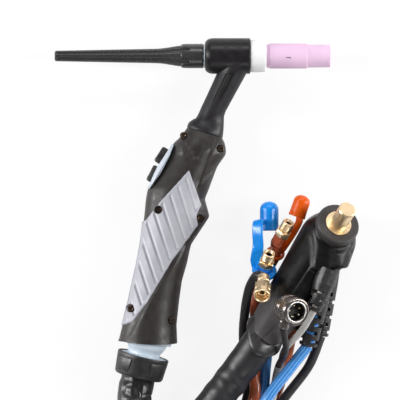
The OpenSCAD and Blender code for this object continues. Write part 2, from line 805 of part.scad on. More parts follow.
blue_cap_at = [57.6, -14.4, 18];
blue_cap_dir = [0, 1, 0];
blue_cap_d = 14;
blue_cap_len = 22;
ring_back = 17;
blue_ring_at = blue_mouth - ring_back * blue_dir;
module blue_cap() {
    color([0.02, 0.47, 0.82]) {
        dust_cap(blue_cap_at, blue_cap_dir, blue_cap_d, blue_cap_len, 7);
        strap([blue_cap_at + [-6.4, 2, 0], [49, -9, 25], [48, -24, 29], rim(blue_ring_at, blue_dir, -1)],
            strap_w, strap_t);
        strap_ring(blue_ring_at, blue_dir, ferrule_d);
    }
}

orange_cap_at = [78, -4, 22];
orange_cap_dir = unit([0.33, 0.94, 0]);
orange_cap_d = 12.6;
orange_cap_len = 17;
orange_ring_at = red_mouth - ring_back * red_dir;
module orange_cap() {
    color([0.88, 0.37, 0.04]) {
        dust_cap(orange_cap_at, orange_cap_dir, orange_cap_d, orange_cap_len, 2);
        strap([orange_cap_at + [-0.4, 1.5, 5.6], [78, -19, 37], rim(orange_ring_at, red_dir, 1)], strap_w, strap_t);
        strap_ring(orange_ring_at, red_dir, ferrule_d);
    }
}

// ---- Control plug ----
control_dir = unit([0.43, -0.18, 0.885]);
control_face = [76.5, -73.6, 70];
control_len = 21;
ring_len = 11;
socket_depth = 7;
control_core_d = control_d - 4;
module control_body() {
    color([0.25, 0.25, 0.26]) along(control_face, -control_dir) difference() {
        union() {
            translate([0, 0, 1]) cylinder(d = control_core_d, h = control_len - 7);
            translate([0, 0, ring_len + 1.4]) cylinder(d = control_d - 1, h = control_len - 6 - ring_len - 1.4);
        }
        cylinder(d = control_core_d - 2.4, h = socket_depth + 2.5);
    }
}

module control_ring() {
    color([0.15, 0.15, 0.15]) along(control_face, -control_dir) difference() {
        cylinder(d = control_d, h = ring_len);
        translate([0, 0, -1]) cylinder(d = control_core_d + 0.16, h = ring_len + 2);
    }
}

pins = 5;
pin_circle_d = 8.8;
module control_insert() {
    color([0.1, 0.1, 0.1]) along(control_face, -control_dir) {
        translate([0, 0, socket_depth]) cylinder(d = control_core_d - 2.4 - 2 * fit, h = 2.4);
        for (k = [0:pins - 1]) rotate(360 * k / pins + 20) translate([pin_circle_d / 2, 0, 2.4])
            cylinder(d = 1.5, h = socket_depth - 2);
    }
}

shell_exit_dir = unit([-0.05, -0.98, -0.2]);
shell_t = 8;
shell_arm_d = 7.4;
shell_arm_len = 17;
shell_at = control_face - (control_len - 6 + shell_t / 2) * control_dir;
control_exit = shell_at + shell_arm_len * shell_exit_dir;
module control_backshell() {
    color([0.2, 0.2, 0.2]) union() {
        along(control_face - (control_len - 6) * control_dir, -control_dir)
            cylinder(d = control_core_d, h = shell_t);
        along(shell_at, shell_exit_dir) cylinder(d = shell_arm_d, h = shell_arm_len);
    }
}

// ---- Tails: each runs from its relief, round a loop, and back to its fitting ----
blue_points = [
    [72, -119, 23], [57, -138.5, 25], [49, -156, 23], [53.5, -175.5, 17], [62.5, -186.5, 13.2],
    [73, -208.5, 18], [61, -226, 17.5], [44, -233, 9.6], [25.5, -234, 5], [14.5, -215.5, 4.5],
    [20, -195, 4.5], [51.5, -141, 4.5], [55, -118, 4.5], [57, -92, 4.5], [57.4, -71, 4.6],
    [54.4, -60, 9.5], [52, -53, 16]];
gas_points = [
    [88, -116, 9], [66.5, -145, 11.2], [62, -157, 8], [61.5, -171, 3.9], [66, -182.5, 3.7],
    [79, -208, 3.7], [71.5, -235, 3.7], [47, -249, 3.7], [19.5, -241.5, 3.7], [5.5, -217, 3.7],
    [13, -189.5, 3.7], [41, -141, 3.7], [39.5, -115, 3.7], [38.3, -92, 3.9], [39, -80, 10],
    [41, -66, 20], [44.5, -53, 31], [49, -45, 39]];
red_points = [
    [70, -114, 4.6], [61.5, -142, 4.4], [53.5, -156.5, 4.4], [52.5, -175, 4.4], [60, -190, 4.4],
    [70.5, -209, 4.4], [65, -229.5, 7.4], [46.5, -244.5, 12.2], [22, -238.5, 12.7], [9.5, -216.5, 12.7],
    [16.5, -192, 12.7], [46, -141, 12.3], [46.8, -122, 9.5], [47.6, -100, 4.5], [47.4, -78, 4.5],
    [46.8, -60, 4.5], [51, -49, 4.6], [57, -42, 8], [62, -33, 15]];
control_points = [
    [82, -88, 34], [69, -104, 22], [65.8, -117, 13], [56.5, -141, 10.3], [46.5, -155.5, 11.6],
    [45.3, -178, 4.8], [55, -196, 2.7], [62, -210, 2.7], [57, -223.5, 2.7], [44.5, -228, 2.7],
    [31, -227, 2.7], [23, -214.5, 2.7], [27, -200.5, 6], [46, -166, 13.4], [60.5, -141, 13.8],
    [62, -127, 13.6], [64.5, -116, 18], [69.5, -104, 36]];

module control_cable() {
    color([0.78, 0.76, 0.75]) tube(concat([control_relief_end], control_points, [control_exit]),
        control_cable_d / 2, 8, control_relief_end - control_relief_root, -shell_exit_dir);
}

module blue_hose() {
    color([0.24, 0.53, 0.82]) tube(concat([blue_relief_end], blue_points, [blue_mouth - fitting_len * blue_dir]),
        water_hose_d / 2, 10, blue_relief_end - blue_relief_root, blue_dir);
}

gas_tail = gas_mouth - (gas_nut_at + gas_nut_len + 9.6) * gas_dir;
module gas_hose() {
    color([0.1, 0.1, 0.1]) tube(concat([gas_relief_end], gas_points, [gas_tail]),
        gas_hose_d / 2, 8, gas_relief_end - gas_relief_root, gas_dir);
}

module red_hose() {
    color([0.65, 0.3, 0.2]) tube(concat([red_relief_end], red_points, [red_mouth - fitting_len * red_dir]),
        water_hose_d / 2, 10, red_relief_end - red_relief_root, red_dir);
}

back_cap();
back_cap_seal();
head_core();
head_cover();
neck_cover();
neck_tubes();
cup_insulator();
collet_body();
collet();
ceramic_cup();
tungsten_electrode();
handle_shell_upper();
handle_shell_lower();
grip_insert_upper();
grip_insert_lower();
handle_screws();
switch_bezel();
trigger_front();
trigger_rear();
switch_board();
inner_gas_hose();
inner_water_hose();
inner_power_hose();
ball_seat();
ball_sleeve();
collar_nut();
leather_hose();
hose_coil();
machine_hose();
elbow_boot();
tail_boot();
plug_pin();
control_relief();
blue_relief();
gas_relief();
red_relief();
control_cable();
blue_hose();
gas_hose();
red_hose();
blue_fitting();
red_fitting();
gas_fitting();
gas_nut();
blue_cap();
orange_cap();
control_body();
control_ring();
control_insert();
control_backshell();
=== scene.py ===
"""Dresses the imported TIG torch: materials, soft goods, moulded shapes, camera and light.

Lengths are in millimetres until a mesh is made.
"""

from math import acos, atan2, copysign, cos, dist, exp, hypot, inf, pi, radians, sin, sqrt, tan

import bmesh
import bpy
import numpy as np
from mathutils import Matrix, Vector, geometry, noise


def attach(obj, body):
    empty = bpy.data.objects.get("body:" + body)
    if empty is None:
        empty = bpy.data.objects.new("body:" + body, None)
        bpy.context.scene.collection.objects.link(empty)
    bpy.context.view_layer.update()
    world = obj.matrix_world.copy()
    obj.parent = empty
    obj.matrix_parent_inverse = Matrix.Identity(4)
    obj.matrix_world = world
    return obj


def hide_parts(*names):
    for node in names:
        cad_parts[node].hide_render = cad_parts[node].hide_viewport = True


MM = 0.001
TAU = 2 * pi
AXIS_Z = 22.5  # height of the torch's middle plane
HEAD_Y = 116.7  # the head's axis
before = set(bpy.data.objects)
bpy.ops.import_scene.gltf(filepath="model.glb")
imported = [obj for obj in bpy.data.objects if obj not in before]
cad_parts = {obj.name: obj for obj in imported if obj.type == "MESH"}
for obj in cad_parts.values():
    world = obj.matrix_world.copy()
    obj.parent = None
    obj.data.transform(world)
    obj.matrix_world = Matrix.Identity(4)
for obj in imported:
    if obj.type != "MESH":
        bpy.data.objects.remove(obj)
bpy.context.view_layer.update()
scene = bpy.context.scene


# -------- camera
def make_camera():
    """Looks straight down, as the photograph does. 400 pixels are 300 mm at the torch's middle height."""
    distance, sensor, seen = 2.3, 36, 0.3
    data = bpy.data.cameras.new("camera")
    data.sensor_width = sensor
    data.lens = sensor * distance / seen
    data.clip_start, data.clip_end = 0.05, 20
    camera = bpy.data.objects.new("camera", data)
    camera.location = (0.0056, 0.0087, AXIS_Z * MM + distance)
    scene.collection.objects.link(camera)
    scene.camera = camera


make_camera()


# -------- vectors and curves
def unit(v):
    return np.array(v, float) / np.linalg.norm(v)


def along(p, d):
    """The matrix that puts local +Z along d at p, as the source's own helper does."""
    d = Vector(d).normalized()
    turn = Matrix.Rotation(atan2(d.y, d.x), 4, "Z")
    return Matrix.Translation(Vector(p)) @ turn @ Matrix.Rotation(acos(d.z), 4, "Y")


def head(x):
    """The matrix for a piece turned round the head's axis, with local +Z along +X."""
    return Matrix.Translation((x, HEAD_Y, AXIS_Z)) @ Matrix.Rotation(pi / 2, 4, "Y")


def polar(m, r, a, z=0.0):
    """The point of the matrix's own space at a radius, an angle and a height."""
    return m @ Vector((r * cos(a), r * sin(a), z))


def circle(n):
    return [TAU * k / n for k in range(n)]


def bell(x, width):
    return exp(-((x / width) ** 2))


def smooth(t):
    c = min(1.0, max(0.0, t))
    return c * c * (3 - 2 * c)


def spline(points, step):
    """A centripetal curve through the points, sampled about every step."""
    p = [np.array(q, float) for q in points]
    p = [2 * p[0] - p[1]] + p + [2 * p[-1] - p[-2]]
    out = []
    for i in range(1, len(p) - 2):
        a, b, c, d = p[i - 1 : i + 3]
        k = [sqrt(np.linalg.norm(v)) + 1e-9 for v in (b - a, c - b, d - c)]
        m1 = k[1] * ((b - a) / k[0] - (c - a) / (k[0] + k[1]) + (c - b) / k[1])
        m2 = k[1] * ((c - b) / k[1] - (d - b) / (k[1] + k[2]) + (d - c) / k[2])
        n = max(2, int(np.linalg.norm(c - b) / step))
        for j in range(n):
            t = j / n
            out.append(
                (2 * t**3 - 3 * t**2 + 1) * b + (t**3 - 2 * t**2 + t) * m1
                + (3 * t**2 - 2 * t**3) * c + (t**3 - t**2) * m2
            )
    out.append(p[-2])
    return np.array(out)


def distances(path):
    """How far along the path each of its points is."""
    return np.concatenate([[0], np.cumsum(np.linalg.norm(np.diff(path, axis=0), axis=1))])


def tangents(path):
    t = np.gradient(path, axis=0)
    return t / np.linalg.norm(t, axis=1)[:, None]


def nearest(p, starts, spans):
    """The point nearest to p on the segments that run from starts by spans, and how far off it is."""
    s = np.clip(((p - starts) * spans).sum(1) / (spans * spans).sum(1), 0, 1)
    near = starts + spans * s[:, None]
    away = np.hypot(*(near - p).T)
    i = np.argmin(away)
    return near[i], float(away[i])


def frames(path):
    """Two side vectors at each point, turned as little as possible along the path."""
    t = tangents(path)
    u = np.cross((0, 0, 1), t[0])
    us = []
    for d in t:
        u = u - (u @ d) * d
        u = u / np.linalg.norm(u)
        us.append(u)
    return np.array(us), np.cross(t, us)


def fillet(profile, r):
    """Rounds each corner of a closed profile. A third number at a corner is its own radius."""
    out, n = [], 4
    for i, p in enumerate(profile):
        q = np.array(p[:2], float)
        own = p[2] if len(p) > 2 else r
        if own == 0:
            out.append(tuple(q))
            continue
        a = np.array(profile[i - 1][:2], float) - q
        b = np.array(profile[(i + 1) % len(profile)][:2], float) - q
        la, lb = np.linalg.norm(a), np.linalg.norm(b)
        reach = min(own, 0.48 * la, 0.48 * lb)
        s, e = q + a / la * reach, q + b / lb * reach
        for k in range(n + 1):
            f = k / n
            out.append(tuple((1 - f) ** 2 * s + 2 * f * (1 - f) * q + f * f * e))
    return out


# -------- materials
def node(owner, kind, inputs, **settings):
    """A new shader node. An input is a value or the output that feeds it; a colour may be three numbers."""
    tree = owner.node_tree
    n = tree.nodes.new("ShaderNode" + kind)
    for key, value in settings.items():
        setattr(n, key, value)
    for key, value in inputs.items():
        if isinstance(value, bpy.types.NodeSocket):
            tree.links.new(value, n.inputs[key])
        else:
            n.inputs[key].default_value = (*value, 1) if n.inputs[key].type == "RGBA" else value
    return n.outputs


def ramp(m, value, low, high, a=0.0, c=1.0):
    ends = {"Value": value, "From Min": low, "From Max": high, "To Min": a, "To Max": c}
    return node(m, "MapRange", ends)["Result"]


def surface(m, name):
    """The main shader's input of that name, and what feeds it now."""
    socket = m.node_tree.nodes["Principled BSDF"].inputs[name]
    return socket, socket.links[0].from_socket if socket.links else None


def feed(m, name, output):
    m.node_tree.links.new(output, surface(m, name)[0])


def overlay(m, amount, rgb):
    """Lays a colour over what the surface has."""
    layers = {"Factor": amount, "A": surface(m, "Base Color")[1], "B": rgb}
    feed(m, "Base Color", node(m, "Mix", layers, data_type="RGBA")["Result"])


def roughen(m, height, strength, depth):
    """Adds a bump over what the surface has."""
    inputs = {"Strength": strength, "Distance": depth, "Height": height}
    under = surface(m, "Normal")[1]
    if under:
        inputs["Normal"] = under
    feed(m, "Normal", node(m, "Bump", inputs)["Normal"])


def place_in(m, stretch):
    return node(m, "Mapping", {"Vector": node(m, "TexCoord", {})["Object"], "Scale": stretch})["Vector"]


def map_x(m):
    return node(m, "SeparateXYZ", {"Vector": node(m, "TexCoord", {})["UV"]})["X"]


def material(
    name, rgb, rough=0.5, metal=0.0, vary=0.12, scale=60, grain=900, bump=0.25, depth=0.0002,
    rough_vary=0.1, edge=0.0, coat=0.0, stretch=(1, 1, 1), dirt=None, spec=0.5,
):
    """A procedural surface: two scales of colour change, uneven gloss, a fine grain and paler worn edges."""
    m = bpy.data.materials.new(name)
    m.use_nodes = True
    for key, value in (("Metallic", metal), ("Coat Weight", coat), ("Coat Roughness", 0.12),
                       ("Specular IOR Level", spec)):
        surface(m, key)[0].default_value = value
    place = place_in(m, stretch)

    def texture(size, detail=3.0):
        return node(m, "TexNoise", {"Scale": size, "Detail": detail, "Vector": place})["Fac"]

    dark = tuple(c * (1 - vary) for c in rgb)
    light = tuple(min(1, c * (1 + vary) + 0.004 * vary) for c in rgb)
    clouds = {"Factor": ramp(m, texture(scale), 0.3, 0.7), "A": dark, "B": light}
    feed(m, "Base Color", node(m, "Mix", clouds, data_type="RGBA")["Result"])
    overlay(m, ramp(m, texture(scale * 7), 0.25, 0.75, 0, 0.35), dark)
    if dirt:
        overlay(m, ramp(m, texture(scale * 2.3, 6), 0.52, 0.74, 0, 0.55), dirt)
    if edge:
        worn = tuple(min(1, c * 1.9 + 0.05) for c in rgb)
        overlay(m, ramp(m, node(m, "NewGeometry", {})["Pointiness"], 0.54, 0.62, 0, edge), worn)
    feed(m, "Roughness", ramp(m, texture(scale * 4), 0.3, 0.7, rough - rough_vary, rough + rough_vary))
    roughen(m, texture(grain, 4.0), bump, depth)
    return m


def striped(m, rgb, count, share):
    """Adds lengthwise stripes to a hose, from its UV map, whose x runs once round it."""
    wave = node(m, "Math", {0: map_x(m), 1: count * TAU}, operation="MULTIPLY")[0]
    sine = node(m, "Math", {0: wave}, operation="SINE")[0]
    overlay(m, ramp(m, sine, 1 - 2 * share, 1), rgb)


def paint_shade_and_highlight(m, low, high):
    """Paints shade and highlight by the UV map's x: all of the painted shade colour low at 0.3, none at 0.5,
    all of the painted highlight colour high at 0.7.
    """
    x = map_x(m)
    overlay(m, ramp(m, x, 0.5, 0.3), low)
    overlay(m, ramp(m, x, 0.5, 0.7), high)


def crinkled(m, size, depth, strength, stretch=1.0):
    """Adds creases over the fine grain, as on soft leather or a soft sleeve."""
    place = place_in(m, (1, stretch, 1))
    height = 0.0
    for scale, weight in ((size, 1.0), (size * 2.7, 0.5)):
        bend = node(m, "TexNoise", {"Vector": place, "Scale": scale * 0.6})["Color"]
        bent = node(m, "Mix", {"Factor": 0.012, "A": place, "B": bend}, data_type="VECTOR")["Result"]
        cells = {"Vector": bent, "Scale": scale, "Smoothness": 0.35}
        far = node(m, "TexVoronoi", cells, feature="SMOOTH_F1")["Distance"]
        height = node(m, "Math", {0: far, 1: weight, 2: height}, operation="MULTIPLY_ADD")[0]
    roughen(m, height, strength, depth)


HEAD = material("head_black", (0.011, 0.0095, 0.011), 0.38, spec=0.26, vary=0.15, grain=1600, bump=0.2,
                edge=0.06)
CAP = material("cap_black", (0.03, 0.028, 0.0285), 0.28, grain=1400, bump=0.03, rough_vary=0.04)
NECK = material("neck_black", (0.016, 0.0145, 0.017), 0.4, spec=0.26, vary=0.14, grain=1500, bump=0.3,
                edge=0.05)
PANEL = material("neck_panel", (0.004, 0.003, 0.004), vary=0.1)
NYLON = material("charcoal_nylon", (0.025, 0.0215, 0.020), 0.4, spec=0.32, grain=2200, bump=0.35,
                 depth=0.00015, edge=0.2)
GRIP = material("grey_grip", (0.36, 0.36, 0.40), vary=0.05, grain=2000, dirt=(0.31, 0.31, 0.345))
BEZEL = material("pale_bezel", (0.46, 0.50, 0.56), 0.4, vary=0.04, grain=1500, bump=0.1)
BUTTON = material("black_button", (0.016, 0.015, 0.016), 0.32, vary=0.1, grain=1800, edge=0.3)
CERAMIC = material("pink_ceramic", (0.72, 0.50, 0.68), 0.62, spec=0.4, vary=0.05, grain=2600, bump=0.35,
                   dirt=(0.66, 0.47, 0.61))
WHITE = material("white_ptfe", (0.78, 0.78, 0.79), 0.38, vary=0.03, bump=0.1)
BALL = material("ball_plastic", (0.58, 0.66, 0.74), 0.35, vary=0.05, grain=1200, bump=0.12)
COLLAR = material("collar_black", (0.017, 0.016, 0.017), 0.38, grain=1900, bump=0.3, edge=0.4)
SEAT = material("seat_plastic", (0.5, 0.57, 0.64), 0.45, vary=0.06, grain=1400, bump=0.1)
LEATHER = material("black_leather", (0.009, 0.0085, 0.009), 0.33, vary=0.3, scale=90, grain=1300, bump=0.15,
                   rough_vary=0.04)
HOSE = material("hose_rubber", (0.017, 0.016, 0.018), 0.42, scale=40, grain=800, bump=0.12, rough_vary=0.06)
BOOT = material("boot_rubber", (0.005, 0.0045, 0.0045), 0.36, spec=0.2, vary=0.16, scale=50, grain=1400,
                bump=0.15)
LIP = material("lip_rubber", (0.03, 0.028, 0.029), 0.32, vary=0.14, scale=50, grain=1400, bump=0.12)
RIB = material("relief_rubber", (0.024, 0.0225, 0.024), 0.34, scale=70, grain=1500, bump=0.06)
BRASS = material("brass", (0.95, 0.73, 0.46), 0.36, 1.0, vary=0.04, scale=70, grain=1800, bump=0.015,
                 rough_vary=0.05)
BRIGHT = material("bright_ring", (0.86, 0.85, 0.83), 0.34, 1.0, vary=0.04, bump=0.03)
COPPER = material("copper", (0.72, 0.42, 0.26), 0.3, 1.0, vary=0.1)
SCREW = material("screw_head", (0.17, 0.12, 0.09), 0.3, 1.0, vary=0.2, edge=0.5)
TUNGSTEN = material("tungsten", (0.45, 0.45, 0.47), 0.28, 1.0, vary=0.06, stretch=(0.1, 1, 1), grain=1800)
BLUE_CAP = material("blue_vinyl", (0.001, 0.25, 0.8), 0.28, vary=0.14, scale=45, grain=300, bump=0.12,
                    coat=0.12)
ORANGE_CAP = material("orange_vinyl", (0.66, 0.085, 0.0002), 0.3, vary=0.1, scale=45, grain=300, bump=0.08,
                      spec=0.35, coat=0.03)
BLUE_HOSE = material("blue_hose", (0.045, 0.22, 0.58), 0.24, scale=40, grain=500, bump=0.1, coat=0.3)
RED_HOSE = material("red_hose", (0.48, 0.10, 0.035), 0.26, vary=0.2, scale=40, grain=500, bump=0.1, coat=0.3)
GAS_HOSE = material("gas_hose", (0.014, 0.013, 0.014), 0.38, vary=0.15, bump=0.2)
GREY = material("grey_cable", (0.45, 0.435, 0.42), 0.4, vary=0.06, grain=600, bump=0.12,
                dirt=(0.46, 0.44, 0.42))
SHELL = material("dark_plating", (0.25, 0.22, 0.205), 0.2, 0.9, vary=0.2, scale=80, grain=1200, bump=0.02,
                 rough_vary=0.05)
# black of the control plug's insert, and also the painted shade lining the water nipples' bores
INSERT_AND_BORE_SHADE = material("insert_black", (0.01, 0.01, 0.011), 0.42, vary=0.1)
PINS = material("gilt_pins", (0.78, 0.66, 0.44), 0.24, 1.0, vary=0.06)
BLUE_CRIMP = material("blue_crimp", (0.02, 0.16, 0.55), 0.25, coat=0.3)
RED_CRIMP = material("red_crimp", (0.42, 0.085, 0.03), 0.26, vary=0.2, coat=0.3)
FACE = material("nose_face", (0.035, 0.031, 0.031), vary=0.1, grain=1500)
BOARD = material("board_green", (0.03, 0.15, 0.06), 0.4, vary=0.15, grain=500)
# painted shade along one wall of each grip groove and a painted highlight along the other
paint_shade_and_highlight(GRIP, (0.2, 0.2, 0.225), (0.58, 0.58, 0.62))
# a painted highlight: the boot's end at the hose is painted lighter
paint_shade_and_highlight(BOOT, (0.005, 0.0045, 0.0045), (0.065, 0.061, 0.062))
crinkled(LEATHER, 85, 0.0017, 0.6, 0.25)
crinkled(HOSE, 26, 0.0012, 0.18)
striped(BLUE_HOSE, (0.17, 0.42, 0.80), 11, 0.35)
striped(RED_HOSE, (0.42, 0.12, 0.06), 9, 0.3)
striped(GAS_HOSE, (0.035, 0.034, 0.038), 16, 0.4)


# -------- making pieces
def body_of(name, verts, faces):
    """A linked object from millimetre points, its faces turned outward."""
    me = bpy.data.meshes.new(name)
    me.from_pydata([Vector(v) * MM for v in verts], [], faces)
    bm = bmesh.new()
    bm.from_mesh(me)
    bmesh.ops.recalc_face_normals(bm, faces=bm.faces)
    bm.to_mesh(me)
    bm.free()
    ob = bpy.data.objects.new(name, me)
    scene.collection.objects.link(ob)
    return ob


def piece(name, mesh, body, mats, stands=(), face_mats=None, sharp=38, uv=None):
    """A piece riding on a body and standing for CAD nodes."""
    ob = body_of(name, *mesh)
    me = ob.data
    for m in mats if isinstance(mats, list) else [mats]:
        me.materials.append(m)
    if face_mats is not None:
        me.polygons.foreach_set("material_index", face_mats)
    if uv is not None:
        layer = me.uv_layers.new(name="UVMap")
        for poly in me.polygons:
            ring = [uv[me.loops[k].vertex_index] for k in poly.loop_indices]
            wraps = max(p[0] for p in ring) - min(p[0] for p in ring) > 0.5
            for k, p in zip(poly.loop_indices, ring):
                layer.data[k].uv = (p[0] + (1 if wraps and p[0] < 0.5 else 0), p[1])
    return fit(ob, body, stands, sharp)


def fit(ob, body, stands=(), sharp=38):
    """Shades a piece, hangs it on its body's empty and hides the nodes it stands for."""
    me = ob.data
    me.polygons.foreach_set("use_smooth", [True] * len(me.polygons))
    me.set_sharp_from_angle(angle=radians(sharp))
    if body:
        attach(ob, body)
    if stands:
        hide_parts(*([stands] if isinstance(stands, str) else stands))
    return ob


def apply_modifiers(ob):
    bpy.context.view_layer.update()
    dg = bpy.context.evaluated_depsgraph_get()
    me = bpy.data.meshes.new_from_object(ob.evaluated_get(dg))
    ob.modifiers.clear()
    ob.data = me
    return ob


def grid(rows, closed=True, caps=True):
    """Points and faces over rings of equal length, with or without caps."""
    m, n = len(rows[0]), len(rows)
    verts = [tuple(p) for r in rows for p in r]
    faces = []
    for i in range(n - 1):
        for k in range(m if closed else m - 1):
            a, b = i * m + k, i * m + (k + 1) % m
            faces.append((a, b, b + m, a + m))
    if caps:
        faces += [tuple(range(m))[::-1], tuple(range((n - 1) * m, n * m))]
    return verts, faces


def turned(profile, matrix, segs=96, shape=None):
    """A closed profile of (radius, height) turned round the matrix's Z. shape changes its radii."""
    verts, faces, index = [], [], []
    for r, z in profile:
        if r < 1e-6:
            verts.append(matrix @ Vector((0, 0, z)))
            index.append([len(verts) - 1] * segs)
            continue
        index.append(range(len(verts), len(verts) + segs))
        verts += [polar(matrix, shape(r, z, a) if shape else r, a, z) for a in circle(segs)]
    for i in range(len(profile)):
        p, q = index[i], index[(i + 1) % len(profile)]
        if profile[i][0] < 1e-6 and profile[(i + 1) % len(profile)][0] < 1e-6:
            continue
        for k in range(segs):
            f = [p[k], p[(k + 1) % segs], q[(k + 1) % segs], q[k]]
            f = [v for j, v in enumerate(f) if v not in f[:j]]
            if len(f) > 2:
                faces.append(tuple(f))
    return verts, faces


def turning(profile, matrix, segs=96, shape=None, r=0.1):
    """A profile with rounded corners, turned."""
    return turned(fillet(profile, r), matrix, segs, shape)


def lathe(name, profile, matrix, body, mats, stands=(), segs=96, shape=None, r=0.4):
    return piece(name, turning(profile, matrix, segs, shape, r), body, mats, stands)


def join(*parts):
    """One mesh, and a material index per face, from (mesh, material index) pairs or plain meshes."""
    verts, faces, mats = [], [], []
    for part in parts:
        (v, f), m = part if isinstance(part[1], int) else (part, 0)
        faces += [tuple(i + len(verts) for i in x) for x in f]
        mats += [m] * len(f)
        verts += [tuple(p) for p in v]
    return (verts, faces), mats


def swept(path, radius, sides, shape=None):
    """Rings along a path, with their UV map. shape(distance, angle, point) adds to the radius."""
    u, v = frames(path)
    rows, uvs = [], []
    for i, (p, run) in enumerate(zip(path, distances(path))):
        base = radius(run) if callable(radius) else radius
        row = []
        for k, a in enumerate(circle(sides)):
            d = cos(a) * u[i] + sin(a) * v[i]
            row.append(p + (base + (shape(run, a, p + base * d) if shape else 0)) * d)
            uvs.append((k / sides, run * MM))
        rows.append(row)
    return grid(rows), uvs


def cut(ob, *cutters):
    """Takes the cutters' meshes out of a piece, and keeps nothing of them."""
    tools = [body_of("cutter", *c) for c in cutters]
    for c in tools:
        m = ob.modifiers.new("cut", "BOOLEAN")
        m.operation = "DIFFERENCE"
        m.solver = "EXACT"
        m.object = c
    apply_modifiers(ob)
    for c in tools:
        bpy.data.objects.remove(c)


def block(size, matrix):
    """A box about the matrix's origin."""
    x, y, z = (v / 2 for v in size)
    rows = [[matrix @ Vector(p) for p in ((-x, -y, h), (x, -y, h), (x, y, h), (-x, y, h))] for h in (-z, z)]
    return grid(rows)


def dress(node_name, m, bevel=0.0):
    """A CAD node that stays gets its material, and a small bevel on its sharp edges."""
    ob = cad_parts[node_name]
    ob.data.materials.clear()
    ob.data.materials.append(m)
    if bevel:
        ob.modifiers.new("weld", "WELD").merge_threshold = 1e-6
        b = ob.modifiers.new("bevel", "BEVEL")
        b.width = bevel * MM
        b.limit_method = "ANGLE"
        b.angle_limit = radians(32)
        b.segments = 3
        b.harden_normals = True


def noise_at(p, size):
    """Smooth noise of about -1 to 1 at a millimetre point."""
    return noise.noise(Vector((p[0] / size, p[1] / size, p[2] / size)))


# -------- places shared with the source
BALL_AT = np.array([-33.7, -94.8, AXIS_Z])
SLEEVE_DIR = unit([-0.235, -0.972, -0.05])
HANDLE_DIR = unit([-0.141, -0.99, 0])
NECK_TOP = np.array([36, 116.7, AXIS_Z])
NECK_DIR = unit([-0.4505, -0.8928, 0])
BOOT_START = np.array([49.8, -98, 27])
TAIL_DIR = unit([0.557, 0.831, 0])
ELBOW_AT = np.array([101.2, -21.3, 22])
PIN_DIR = unit([0.27, 0.47, 0.84])
NOSE_AT = ELBOW_AT + 27 * PIN_DIR
BLUE_MOUTH, BLUE_DIR = np.array([57.3, -30.8, 38]), unit([0.19, 0.71, 0.68])
RED_MOUTH, RED_DIR = np.array([72.1, -7.8, 34]), unit([0.42, 0.75, 0.5])
GAS_MOUTH, GAS_DIR = np.array([51.2, -62.3, 61]), unit([-0.08, -0.62, 0.78])
CONTROL_FACE, CONTROL_DIR = np.array([76.5, -73.6, 70]), unit([0.43, -0.18, 0.885])
BACKSHELL_AT, BACKSHELL_DIR = CONTROL_FACE - 19 * CONTROL_DIR, unit([-0.05, -0.98, -0.2])
HOSE_R = 12.7
COIL_ENTER, COIL_LEAVE = 78.05, 142.5  # the bearings, in degrees, at which the hose joins and leaves the coil
COIL_STEP, LEAD = 2.6, 25.4


# -------- cords
def coil_path():
    """Four turns, out and in again, the first two resting on the last two."""
    low = HOSE_R + 0.2
    drop = 2 * HOSE_R + 0.9
    turn = COIL_ENTER - COIL_LEAVE + 4 * 360
    n = int(radians(turn) * 135 / COIL_STEP)
    out = []
    for i in range(n + 1):
        u = turn * i / n
        r = 157 - 26.4 * min(u, turn - u) / 360
        a = radians(COIL_ENTER - u)
        z = low + drop * (1 - smooth((u - turn / 2 + 90) / 180))
        out.append((3.6 + r * cos(a), -418 + r * sin(a), z))
    return out


def heading(a):
    return np.array([cos(radians(a)), sin(radians(a)), 0])


def main_hose():
    """The hose package: creased leather from the collar to the coil's end, then smooth rubber to the plug."""
    start = BALL_AT + 30 * SLEEVE_DIR
    coil = np.array(coil_path())
    lead = [start, (-43.2, -137, 21.4), (-43.2, -153, 27), (-42.6, -172, 35), (-38, -193, 38.9),
            (-27, -217, 39.1), (-10, -239, 39.1), coil[0] - LEAD * heading(COIL_ENTER - 90), coil[0]]
    tail = [coil[-1], coil[-1] + LEAD * heading(COIL_LEAVE - 90), (-76, -264, 12.9), (-34, -209, 12.9),
            (-2, -167, 14.4), (18, -141.3, 18), (34, -120, 23), BOOT_START, BOOT_START + 6 * TAIL_DIR]
    to_coil = spline(lead, 2.2)[:-1]
    path = np.concatenate([to_coil, coil, spline(tail, 2.2)[1:]])
    run_at = distances(path)
    leather_end = run_at[len(to_coil) + len(coil) - 1] + 6

    def shape(run, angle, p):
        if run > leather_end:
            back = run_at[-1] - run
            turns = (back + 2.2 * sin(angle) + 9 * noise_at(p, 30)) / 19
            fold = 0.85 * bell(back - 46, 20) * sin(TAU * turns) * (0.55 + 0.45 * cos(angle - 2.4))
            fold += 0.5 * noise_at(p, 34) + 0.3 * noise_at(p, 15)
            return fold * min(1, (run - leather_end) / 20)
        bend = noise_at(p, 17) * 0.9 + noise_at(p + 50, 7.5) * 0.75
        crease = -1.5 * max(0.0, 0.24 - abs(noise_at(p + 90, 10.5))) / 0.24
        return bend * 0.75 + crease * 0.7 + 0.3 + 0.7 * bell(angle - 3.6, 0.09)

    sides = 44
    mesh, uvs = swept(path, lambda s: HOSE_R - (0.2 if s < leather_end else 0), sides, shape)
    kinds = [int(s >= leather_end) for s in np.repeat(run_at[:-1], sides)] + [0, 1]
    hose = piece("hose_package", mesh, "cable_side", [LEATHER, HOSE],
                 ("leather_hose", "hose_coil", "machine_hose"), kinds, uv=uvs, sharp=70)
    return hose, path, HOSE_R


